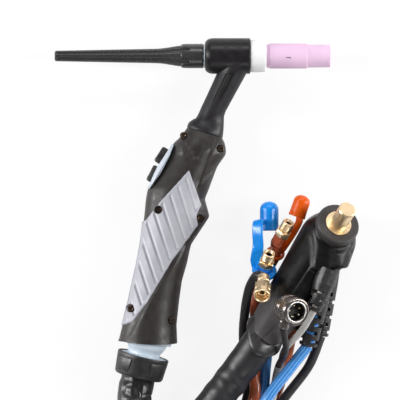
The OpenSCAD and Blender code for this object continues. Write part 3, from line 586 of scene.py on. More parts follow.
# each tail: where its outlet starts and ends, the way on, its end in the fitting, and its radius
TAILS = {
    "blue": ((94, -66, 22), (86.6, -100.8, 20), [
        (72, -119, 23), (57, -138.5, 25), (49, -156, 23), (53.5, -175.5, 17), (62.5, -186.5, 13.2),
        (73, -208.5, 18), (61, -226, 17.5), (44, -233, 9.6), (25.5, -234, 5), (14.5, -215.5, 4.5),
        (20, -195, 4.5), (51.5, -141, 4.5), (55, -118, 4.5), (57, -92, 4.5), (57.4, -71, 4.6),
        (54.4, -60, 9.5), (52, -53, 16)],
        BLUE_MOUTH - 22 * BLUE_DIR, 4.3),
    "gas": ((103, -52, 8.6), (97, -94, 8.6), [
        (88, -116, 9), (66.5, -145, 11.2), (62, -157, 8), (61.5, -171, 3.9), (66, -182.5, 3.7),
        (79, -208, 3.7), (71.5, -235, 3.7), (47, -249, 3.7), (19.5, -241.5, 3.7), (5.5, -217, 3.7),
        (13, -189.5, 3.7), (41, -141, 3.7), (39.5, -115, 3.7), (38.3, -92, 3.9), (39, -80, 10),
        (40.5, -67, 19), (43, -56, 28.5), (48.3, -47.4, 38.6)],
        GAS_MOUTH - 21.6 * GAS_DIR, 3.5),
    "red": ((82, -72, 9), (75.5, -88, 7), [
        (70, -114, 4.6), (61.5, -142, 4.4), (53.5, -156.5, 4.4), (52.5, -175, 4.4), (60, -190, 4.4),
        (70.5, -209, 4.4), (65, -229.5, 7.4), (46.5, -244.5, 12.2), (22, -238.5, 12.7), (9.5, -216.5, 12.7),
        (16.5, -192, 12.7), (46, -141, 12.3), (46.8, -122, 9.5), (47.6, -100, 4.5), (47.4, -78, 4.5),
        (46.8, -60, 4.5), (51, -49, 4.6), (57, -42, 8), (62, -33, 15)],
        RED_MOUTH - 22 * RED_DIR, 4.3),
    "control": ((99, -50, 40), (90.4, -73.6, 40), [
        (82, -88, 34), (69, -104, 22), (65.8, -117, 13), (56.5, -141, 10.3), (46.5, -155.5, 11.6),
        (45.3, -178, 4.8), (55, -196, 2.7), (62, -210, 2.7), (57, -223.5, 2.7), (44.5, -228, 2.7),
        (31, -227, 2.7), (23, -214.5, 2.7), (27, -200.5, 6), (46, -166, 13.4), (60.5, -141, 13.8),
        (62, -127, 13.6), (64.5, -116, 18), (69.5, -104, 36)],
        BACKSHELL_AT + 17 * BACKSHELL_DIR, 2.5),
}


def tail_cord(name, m):
    """A tail, with a black sleeve on the control cable's end."""
    _, end, points, last, r = TAILS[name]
    path, sides = spline([end] + points + [last], 1.6), 24
    mesh, uvs = swept(path, r, sides, lambda s, a, p: 0.03 * r * noise_at(p, 9))
    run = distances(path)
    sleeve_from = run[-1] - 46 if name == "control" else inf
    kinds = [int(g > sleeve_from) for g in np.repeat(run[:-1], sides)] + [0, int(name == "control")]
    stands = "control_cable" if name == "control" else f"{name}_hose"
    return piece(f"{name}_tail", mesh, "cable_side", [m, RIB], stands, kinds, uv=uvs, sharp=60), path, r


cord_of = {
    "main": main_hose(),
    "blue": tail_cord("blue", BLUE_HOSE),
    "gas": tail_cord("gas", GAS_HOSE),
    "red": tail_cord("red", RED_HOSE),
    "control": tail_cord("control", GREY),
}


# -------- torch head
def back_cap():
    """A long tapered cap: flat ridges between round-ended flutes, then a plain collar."""
    rows, length, n = [], 111.6, 150
    for i in range(n + 1):
        x = length * i / n
        base = 4.15 + 1.5 * x / 75 if x < 75 else 5.65 + 2.75 * smooth((x - 75) / 24)
        base -= 0.9 * (1 - sqrt(1 - (1 - min(1.0, x / 1.2)) ** 2))
        row = []
        for a in circle(160):
            ridge = 0.5 + 0.5 * cos(6 * a)
            on = smooth((x - 101.4 + 7.0 * sqrt(smooth(ridge * 1.25))) / 0.9)
            flute = (1 - ridge) ** 3 * 1.1 * min(1, x / 3)
            r = (base - flute) * (1 - on) + 9.15 * on - 0.5 * max(0, x - 110.6) ** 2
            row.append((x - 103.3, HEAD_Y + r * sin(a), AXIS_Z + r * cos(a)))
        rows.append(row)
    stem = turning([(0, 0), (4.9, 0), (4.9, 11.9), (0, 11.9)], head(8.3), 48, r=0.5)
    mesh, _ = join(grid(rows), stem)
    piece("back_cap_body", mesh, "back_cap", CAP, "back_cap", sharp=34)


def torch_head():
    cover = [(9.05, 0)]
    cover += [(9.2 + 4.2 * sin(a), 6 - 6 * cos(a), 0) for a in np.linspace(0, pi / 2, 14)]
    cover += [(13.4, 34, 1.6), (11.4, 34, 0.2), (9.05, 34)]
    insulator = [(7.5, 0), (12.1, 0, 0.8), (12.2, 3, 0), (12.15, 8.5, 0), (11.8, 11.2, 1.2), (10.8, 12, 0.5),
                 (7.5, 12)]
    cup = [(5.6, 0.2), (8.8, 0.2, 0.2), (8.8, 2.3, 0.25), (9.4, 2.3, 0.7), (9.4, 30.3, 0.5),
           (8.62, 30.6, 0.5), (8.5, 47.6, 0.7), (7.9, 48, 0.6), (5.6, 48, 0.5)]
    lathe("head_shell", cover, head(9.3), "torch", HEAD, "head_cover", r=0.3, segs=128)
    lathe("insulator", insulator, head(43.3), "torch", WHITE, "cup_insulator", r=0.3, segs=128)
    lathe("cup_body", cup, head(55.3), "cup", CERAMIC, "ceramic_cup", segs=128)
    size_mark()
    dress("head_core", BRASS, 0.2)
    dress("collet_body", BRASS, 0.15)
    dress("collet", COPPER)
    dress("neck_tubes", COPPER)
    dress("tungsten_electrode", TUNGSTEN)
    dress("back_cap_seal", SEAT, 0.1)


def size_mark():
    """The cup's bore number, small and dark, as any such cup carries: a 7 lying along the cup."""
    stroke = [(-1.7, 0.5), (1.7, 0.5), (1.7, -0.8), (1.1, -0.8), (1.1, -0.05), (-1.7, -0.05)]
    rows = [[(71.6 + x, 115 + y, AXIS_Z + sqrt((9.4 + lift) ** 2 - (y - 1.7) ** 2)) for x, y in stroke]
            for lift in (-0.2, 0.03)]
    piece("cup_size_mark", grid(rows), "cup", PANEL)


def neck():
    """The neck cover: a leaning oval sleeve with a sunk panel, and a hollow shoulder down to the handle."""
    lean, shear = tan(radians(26.8)), 1 / cos(radians(26.8))
    # extra angles and heights stand close together at the sunk panel's edges
    angles = sorted(set([360 * k / 96 for k in range(96)] + [79.4, 80.2, 111.2, 112.0]))
    around = [(a, cos(radians(a)), sin(radians(a))) for a in angles]
    top, step = 114.0, 0.8
    level = [top]
    while level[-1] - step > 76:
        level.append(level[-1] - step)
    rows, tags = [], []
    for y in sorted(set(level + [103.9, 103.3, 83.4, 82.8]), reverse=True):
        t = (top - y) / 38
        near = bell(top - y, 6.5)
        half_w = (10.15 - 1.15 * smooth(t)) + 0.3 * near
        half_h = (10.2 - 1.1 * smooth(t)) + 2.3 * near
        cx = NECK_TOP[0] - (HEAD_Y - y) * lean
        tags.append([83.2 < y < 103.5 and 79.8 < a < 111.6 for a in angles])
        rows.append([(cx + half_w * shear * c, y, AXIS_Z + half_h * s * (1 - (0.075 if sunk else 0)))
                     for (_, c, s), sunk in zip(around, tags[-1])])
    # the shoulder: sections turn from level to the handle's slanted end, and hollow out on top
    flare = [
        (14.2, 73.2, 10.1, 9.2, 0.25, -12), (13.0, 70.6, 10.6, 9.0, 0.5, -3), (12.0, 68.4, 11.6, 9.3, 0.7, 4),
        (11.1, 66.2, 12.5, 10.0, 0.55, 9), (10.3, 64.0, 13.3, 10.9, 0.5, 13),
        (9.7, 61.8, 13.75, 11.45, 0.1, 15), (9.35, 60.1, 13.9, 11.6, 0, 16.4),
        (9.2, 59.35, 13.85, 11.5, 0, 16.8), (8.95, 58.1, 13.3, 11.0, 0, 16.8)]
    for cx, cy, w, h, hollow, turn in flare:
        ct, st = cos(radians(-turn)), sin(radians(-turn))
        row = []
        for a, c, s in around:
            dip = hollow * (bell(a - 78, 34) + bell(a - 282, 34))
            row.append((cx + w * c * ct, cy + w * c * st, AXIS_Z + (h * s - copysign(dip, s))))
        rows.append(row)
        tags.append([False] * len(angles))
    soft = np.array(rows)
    for _ in range(3):
        soft[-13:-8] = (soft[-14:-9] + 2 * soft[-13:-8] + soft[-12:-7]) / 4
    n = len(angles)
    kinds = [int(above[k] and below[k] and above[k - n + 1] and below[k - n + 1])
             for above, below in zip(tags, tags[1:]) for k in range(n)] + [0, 0]
    sleeve = grid(soft.tolist())
    ob = piece("neck_sleeve", sleeve, "torch", [NECK, PANEL], "neck_cover", kinds)
    cut(ob, turned([(0, -6), (13.05, -6), (13.05, 42), (0, 42)], head(9.3)),
        turned([(0, 0), (6.7, 0), (6.7, 80), (0, 80)], along(NECK_TOP, NECK_DIR), 48))
    fit(ob, "torch", sharp=40)


# -------- handle
# sections along it: the outline's left end, its right end and the half thickness
SECTIONS = np.array([
    (-4.2, 62.7, 22.6, 54.6, 11.5), (-8.7, 56.4, 24.3, 51.0, 13.5), (-15.0, 50.6, 25.0, 47.0, 15.4),
    (-17.4, 45.0, 25.1, 43.0, 16.2), (-19.6, 38.6, 21.8, 38.4, 17.0), (-22.6, 32.4, 18.4, 33.4, 17.8),
    (-27.0, 25.8, 16.2, 27.6, 18.4), (-33.6, 17.0, 12.4, 17.2, 19.0), (-35.0, 9.4, 9.2, 9.4, 19.2),
    (-36.2, -3.2, 12.8, -3.6, 19.6), (-37.0, -8.9, 9.4, -8.8, 19.6), (-39.0, -24.8, -1.2, -24.8, 19.4),
    (-41.6, -39.0, -4.2, -39.0, 19.4), (-44.6, -52.0, -8.0, -52.0, 19.4), (-47.8, -66.4, -10.0, -66.4, 19.8),
    (-52.6, -85.0, -12.0, -85.0, 21.2), (-56.0, -99.0, -11.4, -99.0, 22.5)])
# the screws' places and the height of each head above the middle plane
SCREWS = [((-6.8, 56.9), 8.2), ((20.9, 47.0), 8.0), ((-25.4, 1.5), 12.0), ((5.7, -4.7), 10.0),
          ((-45.9, -72.1), 12.0), ((-15.5, -80.9), 12.0)]
# folds on the handle's face: a line, the drop in height across it, and the width it takes
FOLDS = [
    ((11.5, 48.5), (2.6, 40.6), 2.2, 1.7), ((17.5, 53.5), (5.6, 21.5), 1.5, 2.2),
    ((18.3, 33.5), (6.1, 20.7), 1.4, 1.2), ((-6.0, 56.0), (-5.7, 44.2), -1.5, 1.5),
    ((0.2, 44.8), (3.8, 39.6), -1.7, 1.2), ((-33.0, -66.3), (-46.0, -91.8), 1.8, 3.2),
    ((4.0, -12.0), (-33.0, -66.3), 1.6, 4.5), ((5.5, 6.0), (11.0, -1.0), 1.0, 2.0)]
ROW, AROUND = 0.8, 24  # spacing of the table's rows, and of the grip's plan round the handle
ROUNDNESS = 0.9  # below 1 the section is fuller than an ellipse


def section_table():
    """The sections spread evenly along the handle and smoothed."""
    run = distances((SECTIONS[:, :2] + SECTIONS[:, 2:4]) / 2)
    even = np.append(np.arange(0, run[-1], ROW), run[-1])
    soft = np.array([np.interp(even, run, column) for column in SECTIONS.T]).T
    for _ in range(5):
        soft[1:-1] = (soft[:-2] + 2 * soft[1:-1] + soft[2:]) / 4
    return soft


TABLE = section_table()


def fold_depth(x, y):
    d = 0.0
    for (ax, ay), (bx, by), drop, width in FOLDS:
        dx, dy = bx - ax, by - ay
        n = hypot(dx, dy)
        s = ((x - ax) * dx + (y - ay) * dy) / n / n
        if -0.25 < s < 1.25:
            side = ((x - ax) * dy - (y - ay) * dx) / n
            ends = smooth((s + 0.25) / 0.35) * smooth((1.25 - s) / 0.35)
            d += drop * ends * bell(side, width * 2.6) * (smooth((side + width / 2) / width) - 0.5)
    return d


def handle_at(v, t, side, grow):
    """A point of the handle's face: v counts the table's rows along it, t goes over it from right to left."""
    i = min(int(v), len(TABLE) - 2)
    f = v - i
    lx, ly, rx, ry, h = TABLE[i] * (1 - f) + TABLE[i + 1] * f
    w = hypot(lx - rx, ly - ry) / 2
    c, s = cos(t), sin(t)
    x = (w + grow) * copysign(abs(c) ** ROUNDNESS, c) / (2 * w)
    px, py = (lx + rx) / 2 + (rx - lx) * x, (ly + ry) / 2 + (ry - ly) * x
    z = (h + grow) * s**ROUNDNESS if s > 0 else 0.0
    return px, py, AXIS_Z + side * (z - fold_depth(px, py) * min(1, s * 1.6))


def locate(x, y):
    """The v and t at which the handle's face stands over a point."""
    lx, ly, rx, ry, _ = TABLE.T
    w = np.hypot(rx - lx, ry - ly)
    off = ((y - ly) * (rx - lx) - (x - lx) * (ry - ly)) / w
    i = int(np.argmin(abs(off)))
    c = ((x - lx[i]) * (rx - lx)[i] + (y - ly[i]) * (ry - ly)[i]) / w[i] * 2 / w[i] - 1
    c = min(1.0, max(-1.0, c))
    v = max(0, min(len(TABLE) - 1.001, i - off[i] / ROW))
    return v, acos(copysign(abs(c) ** (1 / ROUNDNESS), c))


def shell(side, name, node_name):
    """Half the handle, 2 mm thick, with the wells of the buttons and bores for the screws on top."""
    n, m, inner = len(TABLE), 72, 24  # rows, points over the outside, points over the inside
    last, wall, gap = n - 1.001, 2, 0.12 * side
    rim_x, rim_half = -33.5, 22.4
    rows = []
    for i in range(n):
        rim = smooth((i - n + 5) / 4)
        over = [handle_at(min(i, last), pi * k / m, side, 0) for k in range(m + 1)]
        under = [handle_at(min(i, last), pi * k / inner, side, -wall) for k in range(inner, -1, -1)]
        for line in (over, under):
            for k in (0, -1):
                line[k] = (*line[k][:2], AXIS_Z + gap)
        rows.append([(x, y + rim * (1.7 - 1.3 * ((z - AXIS_Z) / 22) ** 2 - 1.2 * (x - rim_x) / rim_half), z)
                     for x, y, z in over + under])
    verts, faces = grid(rows, caps=False)
    w = len(rows[0])
    for base, flip in ((0, 1), ((n - 1) * w, -1)):
        for k in range(m):
            j, q = w - 1 - round(k * inner / m), w - 1 - round((k + 1) * inner / m)
            faces.append(tuple([base + k, base + k + 1, base + q] + ([base + j] if j != q else []))[::flip])
    ob = piece(name, (verts, faces), None, NYLON)
    bores = []
    for p, top in SCREWS if side > 0 else ():
        profile = [(0, top - 3.8), (1.6, top - 3.8), (1.6, top - 2), (2.95, top - 2), (2.95, 30), (0, 30)]
        bores.append(turned(profile, upright(p), 40))
    cut(ob, wells(), *bores)
    fit(ob, "torch", node_name, sharp=42)


BUTTONS = {"front": ((-24.9, 43.2), (0.838, -0.545)), "rear": ((-31.3, 29.2), (0.886, -0.463))}


def upright(p, turn=0.0):
    """The matrix of a place on the middle plane, turned about its upright axis."""
    return Matrix.Translation((*p, AXIS_Z)) @ Matrix.Rotation(turn, 4, "Z")


def button_matrix(name):
    p, d = BUTTONS[name]
    return upright(p, atan2(d[1], d[0]))


def wells():
    return join(*(block((13.6, 13.8, 9.6), button_matrix(name) @ Matrix.Translation((5.8, 0, 0)))
                  for name in BUTTONS))[0]


# the grip's outline on the handle's face
OUTLINE = [
    (-2.6, 30.8), (6.5, 5.0), (2.9, -2.4), (3.9, -10.0), (-14.8, -35.8), (-33.0, -66.3), (-44.0, -82.0),
    (-51.8, -84.9), (-47.6, -66.4), (-41.4, -39.0), (-38.8, -24.8), (-36.8, -9.0), (-24.4, 6.8)]


def grip(side, name, node_name):
    """The soft insert: flush panel with a smooth rim and slanting grooves that stop short of it. Its UV map's
    x carries painted shade and a painted highlight for each groove.
    """
    border = []
    for p, q in zip(OUTLINE, OUTLINE[1:] + OUTLINE[:1]):
        n = max(1, int(dist(p, q) / 1.6))
        border += [(p[0] + (q[0] - p[0]) * k / n, p[1] + (q[1] - p[1]) * k / n) for k in range(n)]
    points = []
    for x, y in border:
        v, t = locate(x, y)
        # the left edge goes down to the parting line
        points.append((v * ROW, (pi - 0.012 if t > 2.75 else t) * AROUND))
    (x0, y0), (x1, y1) = np.min(points, axis=0), np.max(points, axis=0)
    edges = [(i, (i + 1) % len(points)) for i in range(len(points))]
    holes = [(*SCREWS[2][0], 3.35, 0), (*SCREWS[3][0], 3.1, 2.5), (*SCREWS[4][0], 3.1, 0)] if side > 0 else []
    for hx, hy, r, _ in holes:
        n = len(points)
        for k, a in enumerate(circle(28)):
            v, t = locate(hx + r * cos(a), hy + r * sin(a))
            points.append((v * ROW, t * AROUND))
            edges.append((n + k, n + (k + 1) % 28))
    step, lean, pitch = 0.56, radians(17.4), 7.4
    x, odd = x0 + step / 2, False
    while x < x1:
        y = y0 + (step / 2 if odd else 0)
        while y < y1:
            points.append((x, y))
            y += step
        x, odd = x + step, not odd
    flat, _, cells, _, _, _ = geometry.delaunay_2d_cdt([Vector(q) for q in points], edges, [], 1, 1e-4)
    a = np.array(border)
    d = np.roll(a, -1, axis=0) - a

    def outside(x, y):
        crossed = (a[:, 1] > y) != (a[:, 1] + d[:, 1] > y)
        at = a[crossed, 0] + d[crossed, 0] * (y - a[crossed, 1]) / d[crossed, 1]
        return (at > x).sum() % 2 == 0

    def is_open(x, y):
        return any(dist((x, y), (hx, hy)) < r + more * outside(x, y) for hx, hy, r, more in holes)

    over, under, groove_light_uv, plan = [], [], [], []
    for q in flat:
        v, t = q[0] / ROW, q[1] / AROUND
        px, py, _ = handle_at(v, t, side, 0)
        plan.append((px, py))
        away = nearest((px, py), a, d)[1]
        if t >= 2.9:
            away = min(away, 9)
        # grooves run along a line that leans with the handle, a pitch apart
        phase = ((px + 2.6) * cos(lean) + (py - 30.8) * sin(lean)) / pitch % 1.0
        groove = 0.9 * smooth((phase - 0.3) / 0.1) * smooth((0.72 - phase) / 0.2)
        inset = smooth((away - 1.7) / 0.7)
        by_edge = t > 2.95
        # painted shade at each groove's steep wall and a painted highlight at its rising wall, stored in the
        # UV map's x
        groove_light = bell(phase - 0.58, 0.1) - bell(phase - 0.36, 0.08)
        groove_light_uv.append((0.5 + 0.2 * groove_light * inset * (not by_edge), 0))
        over.append(handle_at(v, t, side, 1.0 if by_edge else smooth(away / 0.9 + 0.15) - groove * inset))
        under.append(handle_at(v, t, side, -0.5))
    plan = np.array(plan)
    cells = [f for f in cells if not is_open(*plan[list(f)].mean(0))]
    n = len(over)
    faces = [tuple(f) for f in cells] + [tuple(i + n for i in f)[::-1] for f in cells]
    sides = {(a, b): None for f in cells for a, b in zip(f, list(f[1:]) + [f[0]])}
    faces += [(b, a, a + n, b + n) for a, b in sides if (b, a) not in sides]
    groove_light_uv += [(0.5, 0)] * n
    piece(name, (over + under, faces), "torch", GRIP, node_name, sharp=50, uv=groove_light_uv)


def screws():
    """Six sunk heads with six-lobed sockets, each in a dark bore."""
    parts = []
    for p, top in SCREWS:
        def lobes(r, z, a, top=top):
            return r * (1 + 0.16 * cos(6 * a)) if r < 2.2 and top - 1.3 < z < top - 0.05 else r

        profile = [(0, -1.2), (1.25, -1.2), (1.4, -0.25), (1.62, 0), (2.35, -0.05), (2.68, -0.5),
                   (2.68, -1.9), (1.45, -2), (1.45, -3.6), (0, -3.6)]
        # each socket stands at its own angle, as screws do
        parts.append(turned([(r, top + z) for r, z in profile], upright(p, p[0]), 60, lobes))
    piece("screw_heads", join(*parts)[0], "torch", SCREW, "handle_screws", sharp=35)


def bezel():
    """The pale crescent round the two buttons, rounded over at its two faces."""
    outer = [(-15.4, 50.8, 0), (-17.6, 47.2, 0), (-21.2, 41.4, 0), (-25.8, 34.4, 0), (-29.2, 27.6, 0),
             (-31.9, 21.4, 0), (-33.9, 17.6, 0)]
    inner = [(-33.2, 17.8, 0), (-27.6, 23.6, 0), (-22.9, 30.2, 0), (-19.2, 38.0, 0), (-16.3, 46.2, 0),
             (-14.9, 50.4, 0)]
    loop = np.concatenate([spline(outer, 1.2), spline(inner, 1.2)])[:, :2]
    middle = np.array([(-15.2, 50.6), (-18.4, 42.6), (-24.0, 32.6), (-29.5, 23.6), (-33.6, 17.7)])
    edge = [(14.6, 0.0), (14.2, 0.35), (13.2, 0.7), (11.4, 0.92), (8, 1)]
    rows = []
    for z, share in [(-z, share) for z, share in edge] + edge[::-1]:
        row = []
        for p in loop:
            # near its two faces the plate draws in towards a line beside its middle, and its ends drop
            c = nearest(p, middle[:-1], np.diff(middle, axis=0))[0] + [1.5, -1.0]
            q = c + (p - c) * (0.2 + 0.8 * share)
            far = min(1, abs((p - [-24.4, 34.2]) @ [0.488, 0.873]) / 19.6)
            row.append((q[0], q[1], AXIS_Z + z * 0.9 * sqrt(1 - 0.75 * far**5)))
        rows.append(row)
    ob = piece("button_bezel", grid(rows), None, BEZEL)
    cut(ob, wells())
    fit(ob, "torch", "switch_bezel", sharp=42)


def buttons():
    """Two push pads with rounded corners and a thumb hollow."""
    n, w, half_y, half_z = 26, 18, 6.6, 4.5

    def dropped(share, flat, depth):
        return depth * (1 - sqrt(max(0, 1 - max(0, (share - flat) / (1 - flat)) ** 2)))

    for name in BUTTONS:
        m = button_matrix(name)
        rows = []
        for i in range(n + 1):
            y = -half_y + 2 * half_y * i / n
            row = []
            for k in range(w + 1):
                z = -half_z + 2 * half_z * k / w
                drop = dropped(abs(y) / half_y, 0.72, 1.5) + dropped(abs(z) / half_z, 0.66, 1.2)
                hollow = 0.5 * bell(y, 3.4) * bell(z, 2.6)
                shrink = 0.985 if 0 < i < n else 0.94
                row.append(m @ Vector((min(8, drop + hollow - 0.9), y * 0.985, z * shrink)))
            rows.append(row)
        verts, faces = grid(rows, closed=False, caps=False)
        edge = [*range(w + 1), *((w + 1) * i + w for i in range(1, n + 1)),
                *((w + 1) * n + k for k in range(w - 1, -1, -1)), *((w + 1) * i for i in range(n - 1, 0, -1))]
        back, count = len(verts), len(edge)
        for e in edge:
            p = m.inverted() @ Vector(verts[e])
            verts.append(tuple(m @ Vector((8.5, p.y, p.z))))
        faces += [(edge[i], back + i, back + (i + 1) % count, edge[(i + 1) % count]) for i in range(count)]
        faces.append(tuple(range(back, back + count)))
        body = f"trigger_{name}"
        piece(f"{name}_pad", (verts, faces), body, BUTTON, body, sharp=50)


# -------- swivel and collar
def arc(r, degrees):
    """Points of a profile on a circle about the origin."""
    return [(r * sin(radians(a)), r * cos(radians(a)), 0) for a in degrees]


def swivel():
    sleeve = [(8.5, -9), (12.6, -9, 0.2), *arc(15.68, range(124, 48, -6)), (12.1, 10.6, 0.5),
              (12.1, 12.6, 0.6), (15.6, 13.4, 0.5), (17.35, 13.4, 0.5), (17.35, 16.35, 0.3),
              (10.5, 16.4, 0.1), (10.5, 30, 0.2), (8.5, 30, 0.2)]
    seat = [*arc(15.75, range(112, 75, -4)), (18.1, 4, 0.5), (18.5, 0, 1.5), (17.5, -6, 0.5)]
    m = along(BALL_AT, SLEEVE_DIR)
    lathe("swivel_sleeve", sleeve, m, "sleeve", BALL, "ball_sleeve", segs=128, r=0.3)
    m = along(BALL_AT, HANDLE_DIR)
    lathe("swivel_seat", seat, m, "seat", SEAT, "ball_seat", r=0.3)


def collar():
    """The black nut with four broad raised finger pads."""
    body = [(17.46, 0.4, 0.2), (18.0, 0, 0.4), (19.4, 0, 0.7), (19.45, 2, 0.4), (18.3, 15.6, 0.8),
            (17.0, 17, 0.8), (10.6, 17, 0.4), (10.6, 3.6, 0.1), (17.46, 3.6, 0.1)]
    # across a pad: the share of its half width, and of its height; -1 is its foot, sunk in the nut
    across = [(-1, -1), (-0.97, 0.6), (-0.9, 1), (-0.5, 1), (0, 1), (0.5, 1), (0.9, 1), (0.97, 0.6), (1, -1)]
    m = along(BALL_AT + 13 * SLEEVE_DIR, SLEEVE_DIR)
    parts = [turning(body, m, 128, r=0.4)]
    for centre in circle(4):
        rows = []
        for z, lift in ((3.2, 0), (3.6, 0.55), (4.2, 0.75), (8.5, 0.8), (12.6, 0.75), (13.2, 0.55),
                        (13.6, 0)):
            half = 0.42 - 0.1 * (z - 3.2) / 10.4
            base = 19.45 - (z - 2) * (1.15 / 13.6)
            points = [(f, base + lift * g if g > 0 and lift else base - 0.3) for f, g in across]
            rows.append([polar(m, r, centre + pi / 4 + half * f, z)
                         for f, r in points + [(1, base - 1), (-1, base - 1)]])
        parts.append(grid(rows))
    piece("collar_body", join(*parts)[0], "cable_side", COLLAR, "collar_nut", sharp=30)


# -------- hoses inside the handle
def inner_hoses():
    first = NECK_TOP + (20 + 45 + 0.3) * NECK_DIR
    last = BALL_AT - 12.5 * SLEEVE_DIR
    across, side = np.array([0.989, -0.141, 0]), np.array([-NECK_DIR[1], NECK_DIR[0], 0])
    for name, a, b, d, m, slot in (("gas", 0, 5, 4.4, GAS_HOSE, "black_rubber_hose"),
                                   ("water", -5, -3, 4.8, BLUE_HOSE, "blue_hose"),
                                   ("power", 5, -3, 5.0, RED_HOSE, "red_hose")):
        up = np.array([0, 0, b])
        shift = a * across + up
        path = spline([first + 0.6 * (a * side + up), (-3, 14, AXIS_Z) + shift, (-22, -44, AXIS_Z) + shift,
                       last + shift * 0.75], 3)
        mesh, uvs = swept(path, d / 2, 16)
        piece(f"inner_{name}_line", mesh, "torch", m, f"inner_{name}_hose", uv=uvs, sharp=60)


# -------- machine plug
def hull_of(points):
    bm = bmesh.new()
    for p in points:
        bm.verts.new(p)
    bmesh.ops.convex_hull(bm, input=bm.verts)
    bmesh.ops.delete(bm, geom=[v for v in bm.verts if not v.link_faces], context="VERTS")
    bm.verts.ensure_lookup_table()
    for i, v in enumerate(bm.verts):
        v.index = i
    verts = [v.co.copy() for v in bm.verts]
    faces = [tuple(v.index for v in f.verts) for f in bm.faces]
    bm.free()
    return verts, faces


def disc(p, d, r):
    return [polar(along(p, d), r, a) for a in circle(40)]


def ball(p, r):
    n = 20
    return [Vector(p) + r * Vector((cos(a) * sin(b), sin(a) * sin(b), cos(b)))
            for a in circle(2 * n) for b in np.linspace(0, pi, n)]


def melted(name, parts, size, rounds):
    """Several closed forms melted into one skin: voxel remesh, then smoothing."""
    ob = body_of(name, *join(*parts)[0])
    r = ob.modifiers.new("remesh", "REMESH")
    r.mode = "VOXEL"
    r.voxel_size = size * MM
    s = ob.modifiers.new("smooth", "SMOOTH")
    s.factor, s.iterations = 0.5, rounds
    return apply_modifiers(ob)


def boots():
    """The plug's moulded boot: a cone from the hose into a round elbow, with a nose and a ledge."""
    cone = hull_of(disc(BOOT_START + 3 * TAIL_DIR, TAIL_DIR, 14.3) + ball(ELBOW_AT - [0, 0, 0.5], 21.6))
    slab = [(x, -43.8 + 0.05 * (x - 85), z) for x, z in (
        (87, 12), (91, 6), (108, 6), (114, 12), (116.5, 24), (115, 38), (111, 44), (100, 46.5), (90, 45.5),
        (86, 41), (85, 24))]
    elbow = hull_of(ball(ELBOW_AT, 21.5) + slab + disc(NOSE_AT - 8.5 * PIN_DIR, PIN_DIR, 15.6))
    nose = hull_of(disc(NOSE_AT - 9 * PIN_DIR, PIN_DIR, 14.6) + disc(NOSE_AT - 3 * PIN_DIR, PIN_DIR, 14.6))
    skin = melted("boot_skin", [cone, elbow, nose], 1.1, 12)
    side = np.cross(TAIL_DIR, [0, 0, 1])
    for v in skin.data.vertices:
        p = np.array(v.co) / MM
        run, off = (p - BOOT_START) @ TAIL_DIR, (p - BOOT_START) @ side
        up = (p - NOSE_AT) @ PIN_DIR
        push = 0.14 * noise_at(p, 14)
        # a groove under the nose, and a dimple at the ledge's corner
        push -= 0.8 * bell(up + 8.8, 1.4) * (np.linalg.norm(np.cross(p - NOSE_AT, PIN_DIR)) < 20)
        dx, dy = p[0] - 117.5, p[1] + 30
        push -= 2.2 * bell(dx * 0.9 + dy * 0.45, 3.4) * bell(dy - dx * 0.5, 1.5) * bell(p[2] - 33, 5)
        if p[2] > 27:
            # the seam along the back, and the slit above the lip
            seam = smooth((run - 34) / 4) * smooth((70 - run) / 4)
            edges = 0.75 * bell(off - 0.4, 0.6) - 0.9 * bell(off + 1.2, 0.6) - 0.6 * bell(off - 1.9, 0.7)
            slit = off + 0.7 - 0.2 * run
            lips = 0.35 * bell(slit + 1.5, 0.8) - bell(slit, 0.55)
            push += seam * edges + lips * smooth((run - 2) / 2) * smooth((20 - run) / 3)
        v.co = (p + np.array(v.normal) * push) * MM
    skin.data.materials.clear()
    skin.data.materials.append(BOOT)
    # painted highlight: the UV map's x rises from 0.5 to 0.7 towards the hose end, where the boot is painted
    # lighter
    layer = skin.data.uv_layers.new(name="UVMap")
    for loop in skin.data.loops:
        run = (np.array(skin.data.vertices[loop.vertex_index].co) / MM - BOOT_START) @ TAIL_DIR
        layer.data[loop.index].uv = (0.5 + 0.2 * smooth((40 - run) / 16), 0)
    fit(skin, "cable_side", ("elbow_boot", "tail_boot"), sharp=60)
    nose_ring = [(9.85, -3.0), (9.85, -0.4, 0.3), (10.3, 0, 0.3), (15.5, 0, 0.7), (16.25, -1.0, 0.4),
                 (16.3, -6.3, 0.8), (14.4, -7.4, 0.5), (14.4, -9.5), (9.85, -9.5)]
    lathe("nose_ring", nose_ring, along(NOSE_AT, PIN_DIR), "cable_side", FACE, r=0.2)
    # the boot's end at the hose is a rolled lip that runs out into a tongue on top
    m = along(BOOT_START, TAIL_DIR)
    lip = [(12.9, -1.2), (13.7, -2.2, 0.5), (15.2, -1.9, 1.0), (15.9, 1.0, 1.2), (15.3, 4.5, 1.4),
           (14.4, 8, 1), (13.4, 9)]
    verts, faces = turning(lip, m, r=0.3)
    out = []
    for v in verts:
        q = m.inverted() @ Vector(v)
        w = np.array(m @ Vector((q.x, q.y, 0))) - BOOT_START
        a = atan2(w[2], w @ side)
        z = 1.25 - 3.5 * cos(a) - 3 * sin(a) + 4.25 * cos(2 * a)
        k = 1 + (0.02 * sin(2 * a + 0.6) + 0.012 * sin(5 * a)) + 0.004 * max(0, z)
        out.append(m @ Vector((q.x * k, q.y * k, q.z + z)))
    piece("hose_lip", (out, faces), "cable_side", LIP, sharp=60)
    dress("plug_pin", BRASS, 0.35)


